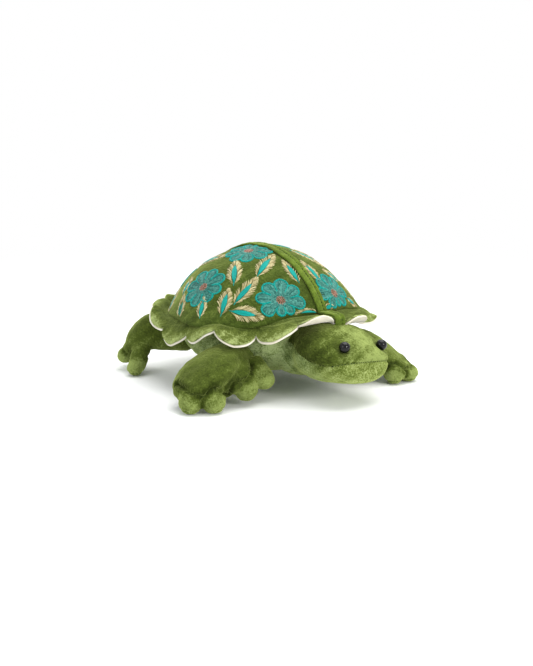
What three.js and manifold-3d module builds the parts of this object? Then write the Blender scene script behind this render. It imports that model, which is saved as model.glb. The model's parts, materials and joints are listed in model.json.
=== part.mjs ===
import * as THREE from 'three';
import { mergeVertices } from 'three/addons/utils/BufferGeometryUtils.js';
import Module from 'manifold-3d';

const wasm = await Module();
wasm.setup();

// Stuffed velvet turtle, millimetres, +Z up, face towards -Y, the turtle's right side at -X.

// Cloth and play
const COVER_CLOTH = 1.2;
const PIECE_GAP = 0.3;
const JOINT_GAP = 0.5;
const JOINT_TURNING_ROOM = 1.3;
const SOLE_FLAT_DEPTH = 0.5;
const FACET_TOLERANCE = 0.05;
const CUT_OVERRUN = 60;

// Torso
const BODY_LENGTH = 140;
const BODY_WIDTH = 118;
const BODY_HEIGHT = 54;
const BELLY_CLEARANCE = 9.5;
const BODY_SETBACK = 2;
const BODY_SEAM_DROP = 3.5;
const BODY_ROUNDNESS = 2.05;

// Domed shell
const DOME_RADIUS = 73;
const DOME_HEIGHT = 49;
const SHELL_BASE_HEIGHT = 57.5;
const SHELL_PITCH_DEG = 4;
const SHELL_SETBACK = 2;
const RIM_SEAM_ALLOWANCE = 8;
const DOME_STEPS = 6;
const DOME_SEGMENTS = 28;

// Scalloped rim
const SCALLOP_COUNT = 17;
const SCALLOP_STEPS = 5;
const RIM_NOTCH_LENGTH = 12;
const RIM_TIP_LENGTH = 24;
const RIM_STRAP_NOTCH_LENGTH = 15;
const RIM_VELVET = 1.6;
const RIM_LINING = 1.2;
const RIM_LAYER_GAP = 0.4;
const RIM_FRONT_TILT_DEG = 6;
const RIM_SIDE_TILT_DEG = -31;
const RIM_REAR_TILT_DEG = 32;
const RIM_FRONT_TURN_DEG = [12, 42];
const RIM_REAR_TURN_DEG = [92, 148];
const RIM_REAR_LENGTH_SHARE = 0.78;
const RIM_REACH_SHARES = [0, 0.5, 1];
const SCALLOP_FULLNESS = 0.7;

// Velvet strap over the shell
const STRAP_WIDTH = 10;
const STRAP_THICKNESS = 2.2;
const STRAP_TUCK = 12;
const STRAP_ARC_STEPS = 24;

// Head and neck
const HEAD_LENGTH = 79;
const HEAD_WIDTH = 64;
const HEAD_HEIGHT = 45;
const CHIN_CLEARANCE = 12.5;
const NECK_INSET = 16;
const NECK_RADIUS = 29;
const NECK_HEIGHT = 42;
const HEAD_ROLL_DEG = 5;
const HEAD_ROUNDNESS = 2.2;
// Rows run from neck to snout: shares of length, half width, then top and bottom of the height.
const HEAD_SECTION_SHARES = [
  [0.0, 0.66, 0.84, 0.14],
  [0.165, 0.75, 0.93, 0.07],
  [0.33, 0.95, 1.0, 0.0],
  [0.494, 1.0, 0.98, 0.02],
  [0.635, 0.96, 0.88, 0.05],
  [0.776, 0.85, 0.74, 0.11],
  [0.89, 0.66, 0.64, 0.2],
  [0.97, 0.38, 0.56, 0.3],
  [1.0, 0.0, 0.45, 0.45],
];
// Side seam and mouth: shares of head length and head height.
const HEAD_SEAM_SHARES = [
  [-0.6, 0.74],
  [0.05, 0.68],
  [0.33, 0.56],
  [0.56, 0.47],
  [0.74, 0.45],
  [1.0, 0.5],
  [1.3, 0.56],
];

// Mouth stitching
const MOUTH_THREAD_RADIUS = 0.5;
const MOUTH_HALF_ANGLE_DEG = 58;
const MOUTH_STEPS = 12;
const MOUTH_THREAD_SIDES = 6;
const MOUTH_SEAM_PASSES = 3;
const MOUTH_CENTRE_SHARE = 0.56;

// Bead eyes with their stems and washers
const EYE_RADIUS = 4.1;
const EYE_STEM_RADIUS = 1.3;
const EYE_STEM_LENGTH = 6;
const EYE_WASHER_RADIUS = 3.6;
const EYE_WASHER_THICKNESS = 0.8;
const EYE_HALF_SPACING = 15;
const EYE_SETBACK_SHARE = 0.74;
const EYE_ELEVATION_DEG = 58;

// Legs: reach is measured in plan from the shoulder or hip to the tip of the foot.
const SHOULDER_RADIUS = 19;
const SHOULDER_BALL_HEIGHT = 28;
const SHOULDER_HEIGHT = 28;
const SHOULDER_SIDE_INSET = 10;
const SHOULDER_FRONT_INSET = 28;
const HIP_HEIGHT = 31;
const HIP_SIDE_INSET = 19;
const HIP_REAR_INSET = 18;
const FRONT_LEG_REACH = 63;
const LEFT_FRONT_LEG_REACH = 56;
const FRONT_PALM_WIDTH = 44;
const FRONT_PALM_THICKNESS = 21;
const FRONT_ARCH_RISE = 4;
const LEFT_FRONT_ARCH_RISE = -3;
const HIND_LEG_REACH = 47;
const HIND_PALM_WIDTH = 34;
const HIND_PALM_THICKNESS = 19;
const HIND_ARCH_RISE = 8;
const FOOT_TIP_HEIGHT = 8;
const FRONT_LEG_HEADING_DEG = 2;
const HIND_LEG_HEADING_DEG = -50;
const LEFT_FRONT_LEG_ADVANCE_DEG = 44;
const LEG_ROUNDNESS = 2.1;
// Rows run from shoulder to tip: reach, drop to the tip's height, arch, half width, half
// thickness, and lead forwards.
const FRONT_LEG_SECTION_SHARES = [
  [0.0, 0.0, 0.0, 0.62, 1.2, 0.0],
  [0.25, 0.0, 0.9, 0.75, 1.05, 0.03],
  [0.5, 0.1, 1.0, 0.95, 1.0, 0.06],
  [0.72, 0.36, 0.8, 1.0, 0.95, 0.08],
  [0.9, 0.72, 0.3, 0.85, 0.85, 0.06],
  [1.0, 1.0, 0.0, 0.0, 0.0, 0.05],
];
const HIND_LEG_SECTION_SHARES = [
  [0.0, 0.0, 0.0, 0.78, 1.2, 0.0],
  [0.3, 0.0, 0.8, 0.9, 1.05, 0.0],
  [0.52, 0.05, 1.0, 1.0, 1.0, -0.02],
  [0.74, 0.36, 0.8, 1.0, 0.95, -0.08],
  [0.9, 0.72, 0.3, 0.85, 0.85, -0.12],
  [1.0, 1.0, 0.0, 0.0, 0.0, -0.14],
];
const TOE_RADIUS = 9;
const TOE_ROOT_REACH_SHARE = 0.85;
const TOE_ROOT_FORWARD_SHARE = 0.3;
const TOE_ROOT_WIDTH_SHARE = 0.8;
const TOE_FRONT_SHARE = 0.65;
const TOE_FRONT_WIDTH_SHARE = 0.75;
// Toes: share of the reach, forward share of the palm's half width, rise share of the
// shoulder's height, and share of a quarter turn.
const FRONT_TOE_SHARES = [
  [0.06, 0.84, 0.36, 1.1],
  [0.28, 0.74, 0.22, 1.0],
  [0.7, 0.68, 0.0, 0.8],
  [0.92, 0.3, 0.0, 0.25],
];
const HIND_TOE_SHARES = [
  [0.74, 0.6, 0.0, 0.5],
  [0.98, -0.1, 0.12, 0.1],
  [0.95, -0.85, 0.0, -0.25],
];

// Colours
const DARK_VELVET = '#5d6f2c';
const LEG_VELVET = '#5f7a33';
const SAGE_PLUSH = '#6d8a52';
const RIM_GREEN = '#7d9145';
const STRAP_GREEN = '#7f9c3f';
const CREAM_LINING = '#e3dccb';
const STUFFING_WHITE = '#f1f0ea';
const BEAD_BLACK = '#0b0b0d';
const WASHER_WHITE = '#dcdcd8';
const THREAD_GREEN = '#2f3d1d';

const CLOTH_ROUGHNESS = 0.95;
const BEAD_ROUGHNESS = 0.12;
const WASHER_ROUGHNESS = 0.5;

const RING_POINTS = 12;
const LEG_RING_POINTS = 10;
const BALL_SIDES = 12;
const BALL_STEPS = 6;
const LEG_BALL_SIDES = 10;
const LEG_BALL_STEPS = 4;
const TORSO_SIDES = 20;
const TORSO_STEPS = 8;
const TOE_SIDES = 8;
const HALF_SIDE = 0.5;
const FULLY_ROUND = 2;
const BEAD_SIDES = 10;
const BEAD_STEPS = 6;
const RADIANS = Math.PI / 180;

// Solids

function toSolid(geometry) {
  const bare = geometry.clone();
  bare.deleteAttribute('normal');
  bare.deleteAttribute('uv');
  const welded = mergeVertices(bare, PIECE_GAP / CUT_OVERRUN);
  const mesh = new wasm.Mesh({
    numProp: 3,
    vertProperties: new Float32Array(welded.attributes.position.array),
    triVerts: new Uint32Array(welded.index.array),
  });
  return new wasm.Manifold(mesh);
}

function toGeometry(solid) {
  const mesh = solid.getMesh();
  const geometry = new THREE.BufferGeometry();
  const places = new Float32Array(mesh.vertProperties);
  geometry.setAttribute('position', new THREE.BufferAttribute(places, 3));
  geometry.setIndex(new THREE.BufferAttribute(new Uint32Array(mesh.triVerts), 1));
  return geometry;
}

// A mirrored copy has its triangles turned about, so that they still face outwards.
function moved(geometry, matrix) {
  const copy = geometry.index ? geometry.clone() : mergeVertices(geometry);
  copy.applyMatrix4(matrix);
  if (matrix.determinant() < 0) copy.index.array.reverse();
  return copy;
}

function skin(points, triangles) {
  const geometry = new THREE.BufferGeometry();
  const places = points.flatMap((p) => p.toArray());
  geometry.setAttribute('position', new THREE.Float32BufferAttribute(places, 3));
  geometry.setIndex(triangles);
  return geometry;
}

// A closed skin over rings of points; a single point closes each end.
function loft(rings) {
  const points = [];
  const triangles = [];
  const starts = rings.map((ring) => {
    points.push(...ring);
    return points.length - ring.length;
  });
  for (let i = 1; i < rings.length; i += 1) {
    const count = Math.max(rings[i - 1].length, rings[i].length);
    for (let j = 0; j < count; j += 1) {
      const next = (j + 1) % count;
      const at = (ring, k) => starts[ring] + (rings[ring].length === 1 ? 0 : k);
      if (rings[i - 1].length > 1) triangles.push(at(i - 1, j), at(i - 1, next), at(i, j));
      if (rings[i].length > 1) triangles.push(at(i - 1, next), at(i, next), at(i, j));
    }
  }
  return skin(points, triangles);
}

// A ring round a centre: side and up are half widths as vectors.
function sectionRing(centre, side, up, roundness, count, turn = 0) {
  return Array.from({ length: count }, (_, i) => {
    const angle = ((i + turn) / count) * 2 * Math.PI;
    const c = Math.cos(angle);
    const s = Math.sin(angle);
    const reach = (Math.abs(c) ** roundness + Math.abs(s) ** roundness) ** (-1 / roundness);
    return centre.clone().addScaledVector(side, c * reach).addScaledVector(up, s * reach);
  });
}

// A pillow that swells round its centre.
function pillow(centre, semi, roundness, around, along) {
  const geometry = new THREE.SphereGeometry(1, around, along);
  geometry.rotateX(Math.PI / 2);
  const position = geometry.attributes.position;
  const p = new THREE.Vector3();
  for (let i = 0; i < position.count; i += 1) {
    p.fromBufferAttribute(position, i);
    const sum = Math.abs(p.x) ** roundness + Math.abs(p.y) ** roundness + Math.abs(p.z) ** roundness;
    p.multiplyScalar(sum ** (-1 / roundness)).multiply(semi).add(centre);
    position.setXYZ(i, p.x, p.y, p.z);
  }
  return toSolid(geometry);
}

// A prism across X from an outline in Y and Z.
function sidePrism(outline, halfWidth) {
  const shape = new THREE.Shape(outline.map(([y, z]) => new THREE.Vector2(y, z)));
  const geometry = new THREE.ExtrudeGeometry(shape, { depth: 2 * halfWidth, bevelEnabled: false });
  geometry.translate(0, 0, -halfWidth);
  const axes = new THREE.Matrix4().makeBasis(
    new THREE.Vector3(0, 1, 0),
    new THREE.Vector3(0, 0, 1),
    new THREE.Vector3(1, 0, 0),
  );
  return moved(geometry, axes);
}

function floorBlock(height) {
  const span = 2 * (BODY_LENGTH + HEAD_LENGTH);
  const geometry = new THREE.BoxGeometry(span, span, CUT_OVERRUN);
  geometry.translate(0, 0, height - CUT_OVERRUN / 2);
  return toSolid(geometry);
}

// Cover and stuffing of one form: the cover is a shell of cloth, the stuffing fills it.
function coverOf(form) {
  return form(0).subtract(form(COVER_CLOTH));
}

function stuffingOf(form) {
  return form(COVER_CLOTH + PIECE_GAP);
}

// Shell frame: the base plane is pitched up towards the face.
const shellFrame = new THREE.Matrix4()
  .makeTranslation(0, SHELL_SETBACK, SHELL_BASE_HEIGHT)
  .multiply(new THREE.Matrix4().makeRotationX(-SHELL_PITCH_DEG * RADIANS));

function lathed(outline, segments) {
  const points = outline.map(([r, h]) => new THREE.Vector2(r, h));
  const geometry = new THREE.LatheGeometry(points, segments);
  geometry.rotateX(Math.PI / 2);
  return toSolid(moved(geometry, shellFrame));
}

const CAP_RADIUS = (DOME_RADIUS ** 2 + DOME_HEIGHT ** 2) / (2 * DOME_HEIGHT);
const CAP_CENTRE = DOME_HEIGHT - CAP_RADIUS;

// Points of the dome's arc, inset from its outer face, from crown to base plane.
function domeArc(inset) {
  const radius = CAP_RADIUS - inset;
  const span = Math.acos(-CAP_CENTRE / radius);
  return Array.from({ length: DOME_STEPS + 1 }, (_, i) => {
    const angle = (span * i) / DOME_STEPS;
    return [radius * Math.sin(angle), CAP_CENTRE + radius * Math.cos(angle)];
  });
}

// The arc starts on the axis and ends on the base plane.
function flatEnds(arc) {
  const points = arc.map(([r, h]) => [r, h]);
  points[0][0] = 0;
  points[arc.length - 1][1] = 0;
  return points;
}

function domeCover() {
  const outer = flatEnds(domeArc(0));
  const inner = flatEnds(domeArc(COVER_CLOTH)).reverse();
  return lathed([...outer, ...inner].reverse(), DOME_SEGMENTS);
}

function domeFilling() {
  const arc = flatEnds(domeArc(COVER_CLOTH + PIECE_GAP));
  return lathed([...arc, [0, 0]].reverse(), DOME_SEGMENTS);
}

const rimInnerRadius = DOME_RADIUS - RIM_SEAM_ALLOWANCE;
const rimTop = -PIECE_GAP;
const rimDepth = RIM_VELVET + RIM_LAYER_GAP + RIM_LINING;

// The pad under the dome is as deep as the rim's layers that are sewn in round it.
function basePad() {
  const edge = rimInnerRadius - PIECE_GAP;
  const bottom = rimTop - rimDepth;
  return lathed([[0, bottom], [edge, bottom], [edge, rimTop], [0, rimTop]], DOME_SEGMENTS);
}

// Clears the torso below the pad and the rim.
function shellClearance(drop) {
  const geometry = new THREE.BoxGeometry(2 * BODY_LENGTH, 2 * BODY_LENGTH, CUT_OVERRUN);
  geometry.translate(0, 0, rimTop - rimDepth - PIECE_GAP - drop + CUT_OVERRUN / 2);
  return toSolid(moved(geometry, shellFrame));
}

// Rim

const strapNotchRadius = DOME_RADIUS + RIM_STRAP_NOTCH_LENGTH;
const strapHalfAngle = Math.asin((STRAP_WIDTH / 2 + PIECE_GAP) / strapNotchRadius);

// Columns round the rim: angle from the face, and how far the cloth stands out from the dome.
function rimColumns() {
  const lobe = (2 * Math.PI) / SCALLOP_COUNT;
  const columns = [];
  for (let k = 0; k < SCALLOP_COUNT; k += 1) {
    const first = k === 0;
    const last = k === SCALLOP_COUNT - 1;
    const start = k * lobe + (first ? strapHalfAngle : 0);
    const end = (k + 1) * lobe - (last ? strapHalfAngle : 0);
    const startLength = first ? RIM_STRAP_NOTCH_LENGTH : RIM_NOTCH_LENGTH;
    const endLength = last ? RIM_STRAP_NOTCH_LENGTH : RIM_NOTCH_LENGTH;
    const steps = last ? SCALLOP_STEPS : SCALLOP_STEPS - 1;
    for (let i = 0; i <= steps; i += 1) {
      const t = i / SCALLOP_STEPS;
      const notch = startLength + (endLength - startLength) * t;
      const fullness = Math.sin(Math.PI * t) ** SCALLOP_FULLNESS;
      const length = notch + (RIM_TIP_LENGTH - notch) * fullness;
      columns.push({ angle: start + (end - start) * t, length });
    }
  }
  return columns;
}

// Radius and height of the rim's upper face, at a distance out from the dome's seam.
// The rim stands out level at the face, hangs at the sides, and is short and raised at the tail.
function rimPlace(angle, length) {
  const turn = Math.acos(Math.cos(angle)) / RADIANS;
  const sideways = THREE.MathUtils.smoothstep(turn, ...RIM_FRONT_TURN_DEG);
  const rearwards = THREE.MathUtils.smoothstep(turn, ...RIM_REAR_TURN_DEG);
  const side = THREE.MathUtils.lerp(RIM_FRONT_TILT_DEG, RIM_SIDE_TILT_DEG, sideways);
  const tilt = THREE.MathUtils.lerp(side, RIM_REAR_TILT_DEG, rearwards) * RADIANS;
  const out = length * THREE.MathUtils.lerp(1, RIM_REAR_LENGTH_SHARE, rearwards);
  return [DOME_RADIUS + out * Math.cos(tilt), rimTop + out * Math.sin(tilt)];
}

function rimLayer(upper, lower) {
  const rings = rimColumns().map(({ angle, length }) => {
    const out = RIM_REACH_SHARES.map((share) => rimPlace(angle, length * share));
    const line = [[rimInnerRadius, rimTop], ...out];
    const place = ([radius, height], drop) => new THREE.Vector3(
      -radius * Math.sin(angle),
      -radius * Math.cos(angle),
      height - drop,
    );
    return [...line.map((p) => place(p, upper)), ...line.reverse().map((p) => place(p, lower))];
  });
  return toSolid(moved(hoop(rings), shellFrame));
}

// A closed skin over rings that follow one another round a hoop. Each ring runs out and back, and
// its two runs are divided alike, so that layers of one hoop lie parallel.
function hoop(rings) {
  const points = rings.flat();
  const size = rings[0].length;
  const triangles = [];
  rings.forEach((_, i) => {
    const next = (i + 1) % rings.length;
    for (let j = 0; j < size; j += 1) {
      const k = (j + 1) % size;
      const [a, b, c, d] = [i * size + j, next * size + j, next * size + k, i * size + k];
      if (j < size / 2) triangles.push(a, b, d, d, b, c);
      else triangles.push(a, b, c, a, c, d);
    }
  });
  return skin(points, triangles);
}

function rimVelvet() {
  return rimLayer(0, RIM_VELVET);
}

function rimLining() {
  return rimLayer(RIM_VELVET + RIM_LAYER_GAP, rimDepth);
}

// Strap: a band in the middle plane, over the dome, along the rim, round its edge and under.
function strapPath() {
  const radius = CAP_RADIUS + PIECE_GAP;
  const frontSpan = Math.acos((PIECE_GAP - CAP_CENTRE) / radius);
  const rearSpan = Math.acos((STRAP_THICKNESS + PIECE_GAP - CAP_CENTRE) / radius);
  const path = [];
  for (let i = 0; i <= STRAP_ARC_STEPS; i += 1) {
    const angle = (frontSpan + rearSpan) * (i / STRAP_ARC_STEPS) - rearSpan;
    path.push([radius * Math.sin(angle), CAP_CENTRE + radius * Math.cos(angle)]);
  }
  const [edge, edgeTop] = rimPlace(0, RIM_STRAP_NOTCH_LENGTH);
  const [middle, middleTop] = rimPlace(0, RIM_STRAP_NOTCH_LENGTH / 2);
  const [tuck, tuckTop] = rimPlace(0, RIM_STRAP_NOTCH_LENGTH - STRAP_TUCK);
  path.push([middle, middleTop + PIECE_GAP]);
  path.push([edge + PIECE_GAP, edgeTop + PIECE_GAP]);
  path.push([edge + PIECE_GAP, edgeTop - rimDepth - PIECE_GAP]);
  path.push([tuck, tuckTop - rimDepth - PIECE_GAP]);
  return path;
}

// Offsets a path to its left with mitred corners.
function offsetPath(path, distance) {
  const normals = path.slice(1).map(([x, y], i) => {
    const dx = x - path[i][0];
    const dy = y - path[i][1];
    const length = Math.hypot(dx, dy);
    return [-dy / length, dx / length];
  });
  return path.map(([x, y], i) => {
    const a = normals[Math.max(0, i - 1)];
    const b = normals[Math.min(normals.length - 1, i)];
    const dot = 1 + a[0] * b[0] + a[1] * b[1];
    return [x + (distance * (a[0] + b[0])) / dot, y + (distance * (a[1] + b[1])) / dot];
  });
}

function strap() {
  const inner = strapPath();
  const outer = offsetPath(inner, STRAP_THICKNESS);
  const outline = [...inner, ...outer.reverse()].map(([forward, height]) => [-forward, height]);
  return toSolid(moved(sidePrism(outline, STRAP_WIDTH / 2), shellFrame));
}

// Torso

const bodyCentre = new THREE.Vector3(0, BODY_SETBACK, BELLY_CLEARANCE + BODY_HEIGHT / 2);
const bodyFront = BODY_SETBACK - BODY_LENGTH / 2;
const bodyRear = BODY_SETBACK + BODY_LENGTH / 2;
const neckY = bodyFront + NECK_INSET;
const neckPivot = new THREE.Vector3(0, neckY, CHIN_CLEARANCE + NECK_HEIGHT / 2);

// The rounded root of a limb, and the hollow of the torso that it turns in.
function rootBall(pivot, radius, height, sides, steps) {
  return (grow, growHeight = grow) => {
    const semi = new THREE.Vector3(radius + grow, radius + grow, height / 2 + growHeight);
    return pillow(pivot, semi, FULLY_ROUND, sides, steps);
  };
}

const neckBall = rootBall(neckPivot, NECK_RADIUS, NECK_HEIGHT, BALL_SIDES, BALL_STEPS);

function legBall(leg) {
  return rootBall(legPivot(leg), SHOULDER_RADIUS, SHOULDER_BALL_HEIGHT, LEG_BALL_SIDES, LEG_BALL_STEPS);
}

function legPivot(leg) {
  return new THREE.Vector3(leg.side * leg.halfSpacing, leg.setback, leg.height);
}

function torsoForm(inset) {
  const semi = new THREE.Vector3(BODY_WIDTH / 2, BODY_LENGTH / 2, BODY_HEIGHT / 2).addScalar(-inset);
  let form = pillow(bodyCentre, semi, BODY_ROUNDNESS, TORSO_SIDES, TORSO_STEPS);
  form = form.subtract(shellClearance(inset));
  form = form.subtract(neckBall(JOINT_TURNING_ROOM + inset, JOINT_GAP + inset));
  LEGS.forEach((leg) => {
    form = form.subtract(legBall(leg)(JOINT_TURNING_ROOM + inset, JOINT_GAP + inset));
  });
  return form;
}

// Halves of a cover on either side of a seam drawn in Y and Z.
function aboveSeam(seam) {
  const raised = seam.map(([y, z]) => [y, z + PIECE_GAP / 2]);
  const ends = [raised[raised.length - 1][0], raised[0][0]];
  const ceiling = SHELL_BASE_HEIGHT + CUT_OVERRUN;
  const outline = [...raised, [ends[0], ceiling], [ends[1], ceiling]];
  return toSolid(sidePrism(outline, BODY_WIDTH + CUT_OVERRUN));
}

function belowSeam(seam) {
  const lowered = seam.map(([y, z]) => [y, z - PIECE_GAP / 2]);
  const ends = [lowered[lowered.length - 1][0], lowered[0][0]];
  const outline = [...lowered, [ends[0], -CUT_OVERRUN], [ends[1], -CUT_OVERRUN]];
  return toSolid(sidePrism(outline, BODY_WIDTH + CUT_OVERRUN));
}

const bodySeamHeight = bodyCentre.z - BODY_SEAM_DROP;
const bodySeam = [
  [-BODY_LENGTH, bodySeamHeight],
  [BODY_LENGTH, bodySeamHeight],
];

// Head

const headRoll = new THREE.Matrix4()
  .makeTranslation(neckPivot.x, neckPivot.y, neckPivot.z)
  .multiply(new THREE.Matrix4().makeRotationY(HEAD_ROLL_DEG * RADIANS))
  .multiply(new THREE.Matrix4().makeTranslation(-neckPivot.x, -neckPivot.y, -neckPivot.z));

function headLoft(inset) {
  const side = new THREE.Vector3(1, 0, 0);
  const up = new THREE.Vector3(0, 0, 1);
  const rings = HEAD_SECTION_SHARES.map(([along, width, top, bottom], i) => {
    const end = i === HEAD_SECTION_SHARES.length - 1;
    const y = neckY - (HEAD_LENGTH - inset) * along;
    const middle = CHIN_CLEARANCE + (HEAD_HEIGHT * (top + bottom)) / 2;
    const centre = new THREE.Vector3(0, y, middle);
    if (end) return [centre];
    const halfWidth = (HEAD_WIDTH / 2) * width - inset;
    const halfHeight = (HEAD_HEIGHT / 2) * (top - bottom) - inset;
    const across = side.clone().setLength(halfWidth);
    return sectionRing(centre, across, up.clone().setLength(halfHeight), HEAD_ROUNDNESS, RING_POINTS);
  });
  const rear = rings[0].reduce((sum, p) => sum.add(p), new THREE.Vector3()).divideScalar(RING_POINTS);
  return toSolid(moved(loft([[rear], ...rings]), headRoll));
}

function headForm(inset) {
  return headLoft(inset).add(neckBall(-inset));
}

const headSeam = HEAD_SEAM_SHARES.map(([along, height]) => [
  neckY - HEAD_LENGTH * along,
  CHIN_CLEARANCE + HEAD_HEIGHT * height,
]).reverse();

// Where a ray from outside first meets a form.
function surfaceHit(geometry, from, direction) {
  const mesh = new THREE.Mesh(geometry, new THREE.MeshBasicMaterial({ side: THREE.DoubleSide }));
  const hits = new THREE.Raycaster(from, direction).intersectObject(mesh);
  return hits[0].point;
}

function eyeSeats() {
  const skin = toGeometry(headForm(0));
  return [-1, 1].map((side) => {
    const y = neckY - HEAD_LENGTH * EYE_SETBACK_SHARE;
    const z = CHIN_CLEARANCE + HEAD_HEIGHT * MOUTH_CENTRE_SHARE;
    const seat = new THREE.Vector3(side * EYE_HALF_SPACING, y, z);
    const lean = new THREE.Vector3(
      side * Math.cos(EYE_ELEVATION_DEG * RADIANS),
      -Math.cos(EYE_ELEVATION_DEG * RADIANS),
      Math.sin(EYE_ELEVATION_DEG * RADIANS),
    ).normalize().transformDirection(headRoll);
    const outside = seat.clone().addScaledVector(lean, HEAD_HEIGHT);
    const point = surfaceHit(skin, outside, lean.clone().negate());
    return { side, point, lean };
  });
}

// Places a form modelled along +Z, with its foot on the cover, at an eye.
function atEye(geometry, eye) {
  const turn = new THREE.Quaternion().setFromUnitVectors(new THREE.Vector3(0, 0, 1), eye.lean);
  const frame = new THREE.Matrix4().compose(eye.point, turn, new THREE.Vector3(1, 1, 1));
  return toSolid(moved(geometry, frame));
}

function upright(outline) {
  const points = outline.map(([r, z]) => new THREE.Vector2(r, z));
  const geometry = new THREE.LatheGeometry(points, BEAD_SIDES);
  geometry.rotateX(Math.PI / 2);
  return geometry;
}

function eyeBead(eye) {
  const lift = EYE_RADIUS + PIECE_GAP;
  const outline = [[0, -EYE_STEM_LENGTH], [EYE_STEM_RADIUS, -EYE_STEM_LENGTH]];
  const start = Math.asin(EYE_STEM_RADIUS / EYE_RADIUS);
  for (let i = 0; i <= BEAD_STEPS; i += 1) {
    const angle = start + ((Math.PI - start) * i) / BEAD_STEPS;
    const radius = i === BEAD_STEPS ? 0 : EYE_RADIUS * Math.sin(angle);
    outline.push([radius, lift - EYE_RADIUS * Math.cos(angle)]);
  }
  return atEye(upright(outline), eye);
}

const washerTop = -COVER_CLOTH - PIECE_GAP * 2;
const washerBottom = washerTop - EYE_WASHER_THICKNESS;

function eyeWasher(eye) {
  const hole = EYE_STEM_RADIUS + PIECE_GAP;
  const outline = [
    [hole, washerBottom],
    [EYE_WASHER_RADIUS, washerBottom],
    [EYE_WASHER_RADIUS, washerTop],
    [hole, washerTop],
    [hole, washerBottom],
  ];
  return atEye(upright(outline), eye);
}

// Room for the stem through the cover, and for stem and washer in the stuffing.
function eyeBore(eye) {
  const hole = EYE_STEM_RADIUS + PIECE_GAP;
  const well = EYE_WASHER_RADIUS + PIECE_GAP;
  const deep = -EYE_STEM_LENGTH - PIECE_GAP;
  const outline = [
    [0, deep],
    [hole, deep],
    [hole, washerBottom - PIECE_GAP],
    [well, washerBottom - PIECE_GAP],
    [well, -COVER_CLOTH - PIECE_GAP / 2],
    [hole, -COVER_CLOTH - PIECE_GAP / 2],
    [hole, EYE_RADIUS],
    [0, EYE_RADIUS],
  ];
  return atEye(upright(outline), eye);
}

// Thread laid in the mouth seam, a little off the face.
function mouthStitch() {
  const skin = toGeometry(headForm(0));
  const centre = new THREE.Vector3(0, neckY - HEAD_LENGTH * MOUTH_CENTRE_SHARE, 0);
  const off = MOUTH_THREAD_RADIUS + PIECE_GAP * 2;
  const seamHeight = (y) => {
    const i = headSeam.findIndex(([end]) => end > y);
    const [y0, z0] = headSeam[i - 1];
    const [y1, z1] = headSeam[i];
    return z0 + ((z1 - z0) * (y - y0)) / (y1 - y0);
  };
  const spine = Array.from({ length: MOUTH_STEPS + 1 }, (_, i) => {
    const angle = MOUTH_HALF_ANGLE_DEG * RADIANS * ((2 * i) / MOUTH_STEPS - 1);
    const out = new THREE.Vector3(Math.sin(angle), -Math.cos(angle), 0);
    let point = new THREE.Vector3(0, neckY - HEAD_LENGTH, 0);
    for (let pass = 0; pass < MOUTH_SEAM_PASSES; pass += 1) {
      const level = centre.clone().setZ(seamHeight(point.y));
      point = surfaceHit(skin, level.clone().addScaledVector(out, HEAD_LENGTH), out.clone().negate());
    }
    return { point: point.addScaledVector(out, off), out };
  });
  const up = new THREE.Vector3(0, 0, 1);
  const rings = spine.map(({ point, out }) => {
    const thick = out.clone().setLength(MOUTH_THREAD_RADIUS);
    const high = up.clone().setLength(MOUTH_THREAD_RADIUS);
    return sectionRing(point, thick, high, FULLY_ROUND, MOUTH_THREAD_SIDES);
  });
  const first = [spine[0].point.clone()];
  const last = [spine[MOUTH_STEPS].point.clone()];
  return toSolid(loft([last, ...rings.reverse(), first]));
}

// Legs

const FRONT_LEG = {
  halfSpacing: BODY_WIDTH / 2 - SHOULDER_SIDE_INSET,
  setback: bodyFront + SHOULDER_FRONT_INSET,
  height: SHOULDER_HEIGHT,
  reach: FRONT_LEG_REACH,
  width: FRONT_PALM_WIDTH,
  thickness: FRONT_PALM_THICKNESS,
  arch: FRONT_ARCH_RISE,
  heading: FRONT_LEG_HEADING_DEG,
  sections: FRONT_LEG_SECTION_SHARES,
  toes: FRONT_TOE_SHARES,
};

const HIND_LEG = {
  halfSpacing: BODY_WIDTH / 2 - HIP_SIDE_INSET,
  setback: bodyRear - HIP_REAR_INSET,
  height: HIP_HEIGHT,
  reach: HIND_LEG_REACH,
  width: HIND_PALM_WIDTH,
  thickness: HIND_PALM_THICKNESS,
  arch: HIND_ARCH_RISE,
  heading: HIND_LEG_HEADING_DEG,
  sections: HIND_LEG_SECTION_SHARES,
  toes: HIND_TOE_SHARES,
};

const LEGS = [
  { ...FRONT_LEG, name: 'right_front_leg', side: -1 },
  {
    ...FRONT_LEG,
    name: 'left_front_leg',
    side: 1,
    heading: FRONT_LEG_HEADING_DEG + LEFT_FRONT_LEG_ADVANCE_DEG,
    reach: LEFT_FRONT_LEG_REACH,
    arch: LEFT_FRONT_ARCH_RISE,
  },
  { ...HIND_LEG, name: 'right_hind_leg', side: -1 },
  { ...HIND_LEG, name: 'left_hind_leg', side: 1 },
];

// Leg frame: x runs out from the pivot, y runs forwards, z is the height over the floor.
function legFrame(leg) {
  const heading = leg.heading * RADIANS;
  const out = new THREE.Vector3(leg.side * Math.cos(heading), -Math.sin(heading), 0);
  const forward = new THREE.Vector3(-leg.side * Math.sin(heading), -Math.cos(heading), 0);
  const origin = legPivot(leg).setZ(0);
  return new THREE.Matrix4().makeBasis(out, forward, new THREE.Vector3(0, 0, 1)).setPosition(origin);
}

function legSpine(leg) {
  return leg.sections.map(([reach, drop, arch, width, thickness, lead]) => ({
    point: new THREE.Vector3(
      leg.reach * reach,
      leg.width * lead,
      leg.height + (FOOT_TIP_HEIGHT - leg.height) * drop + leg.arch * arch,
    ),
    halfWidth: (leg.width / 2) * width,
    halfThickness: (leg.thickness / 2) * thickness,
  }));
}

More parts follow.
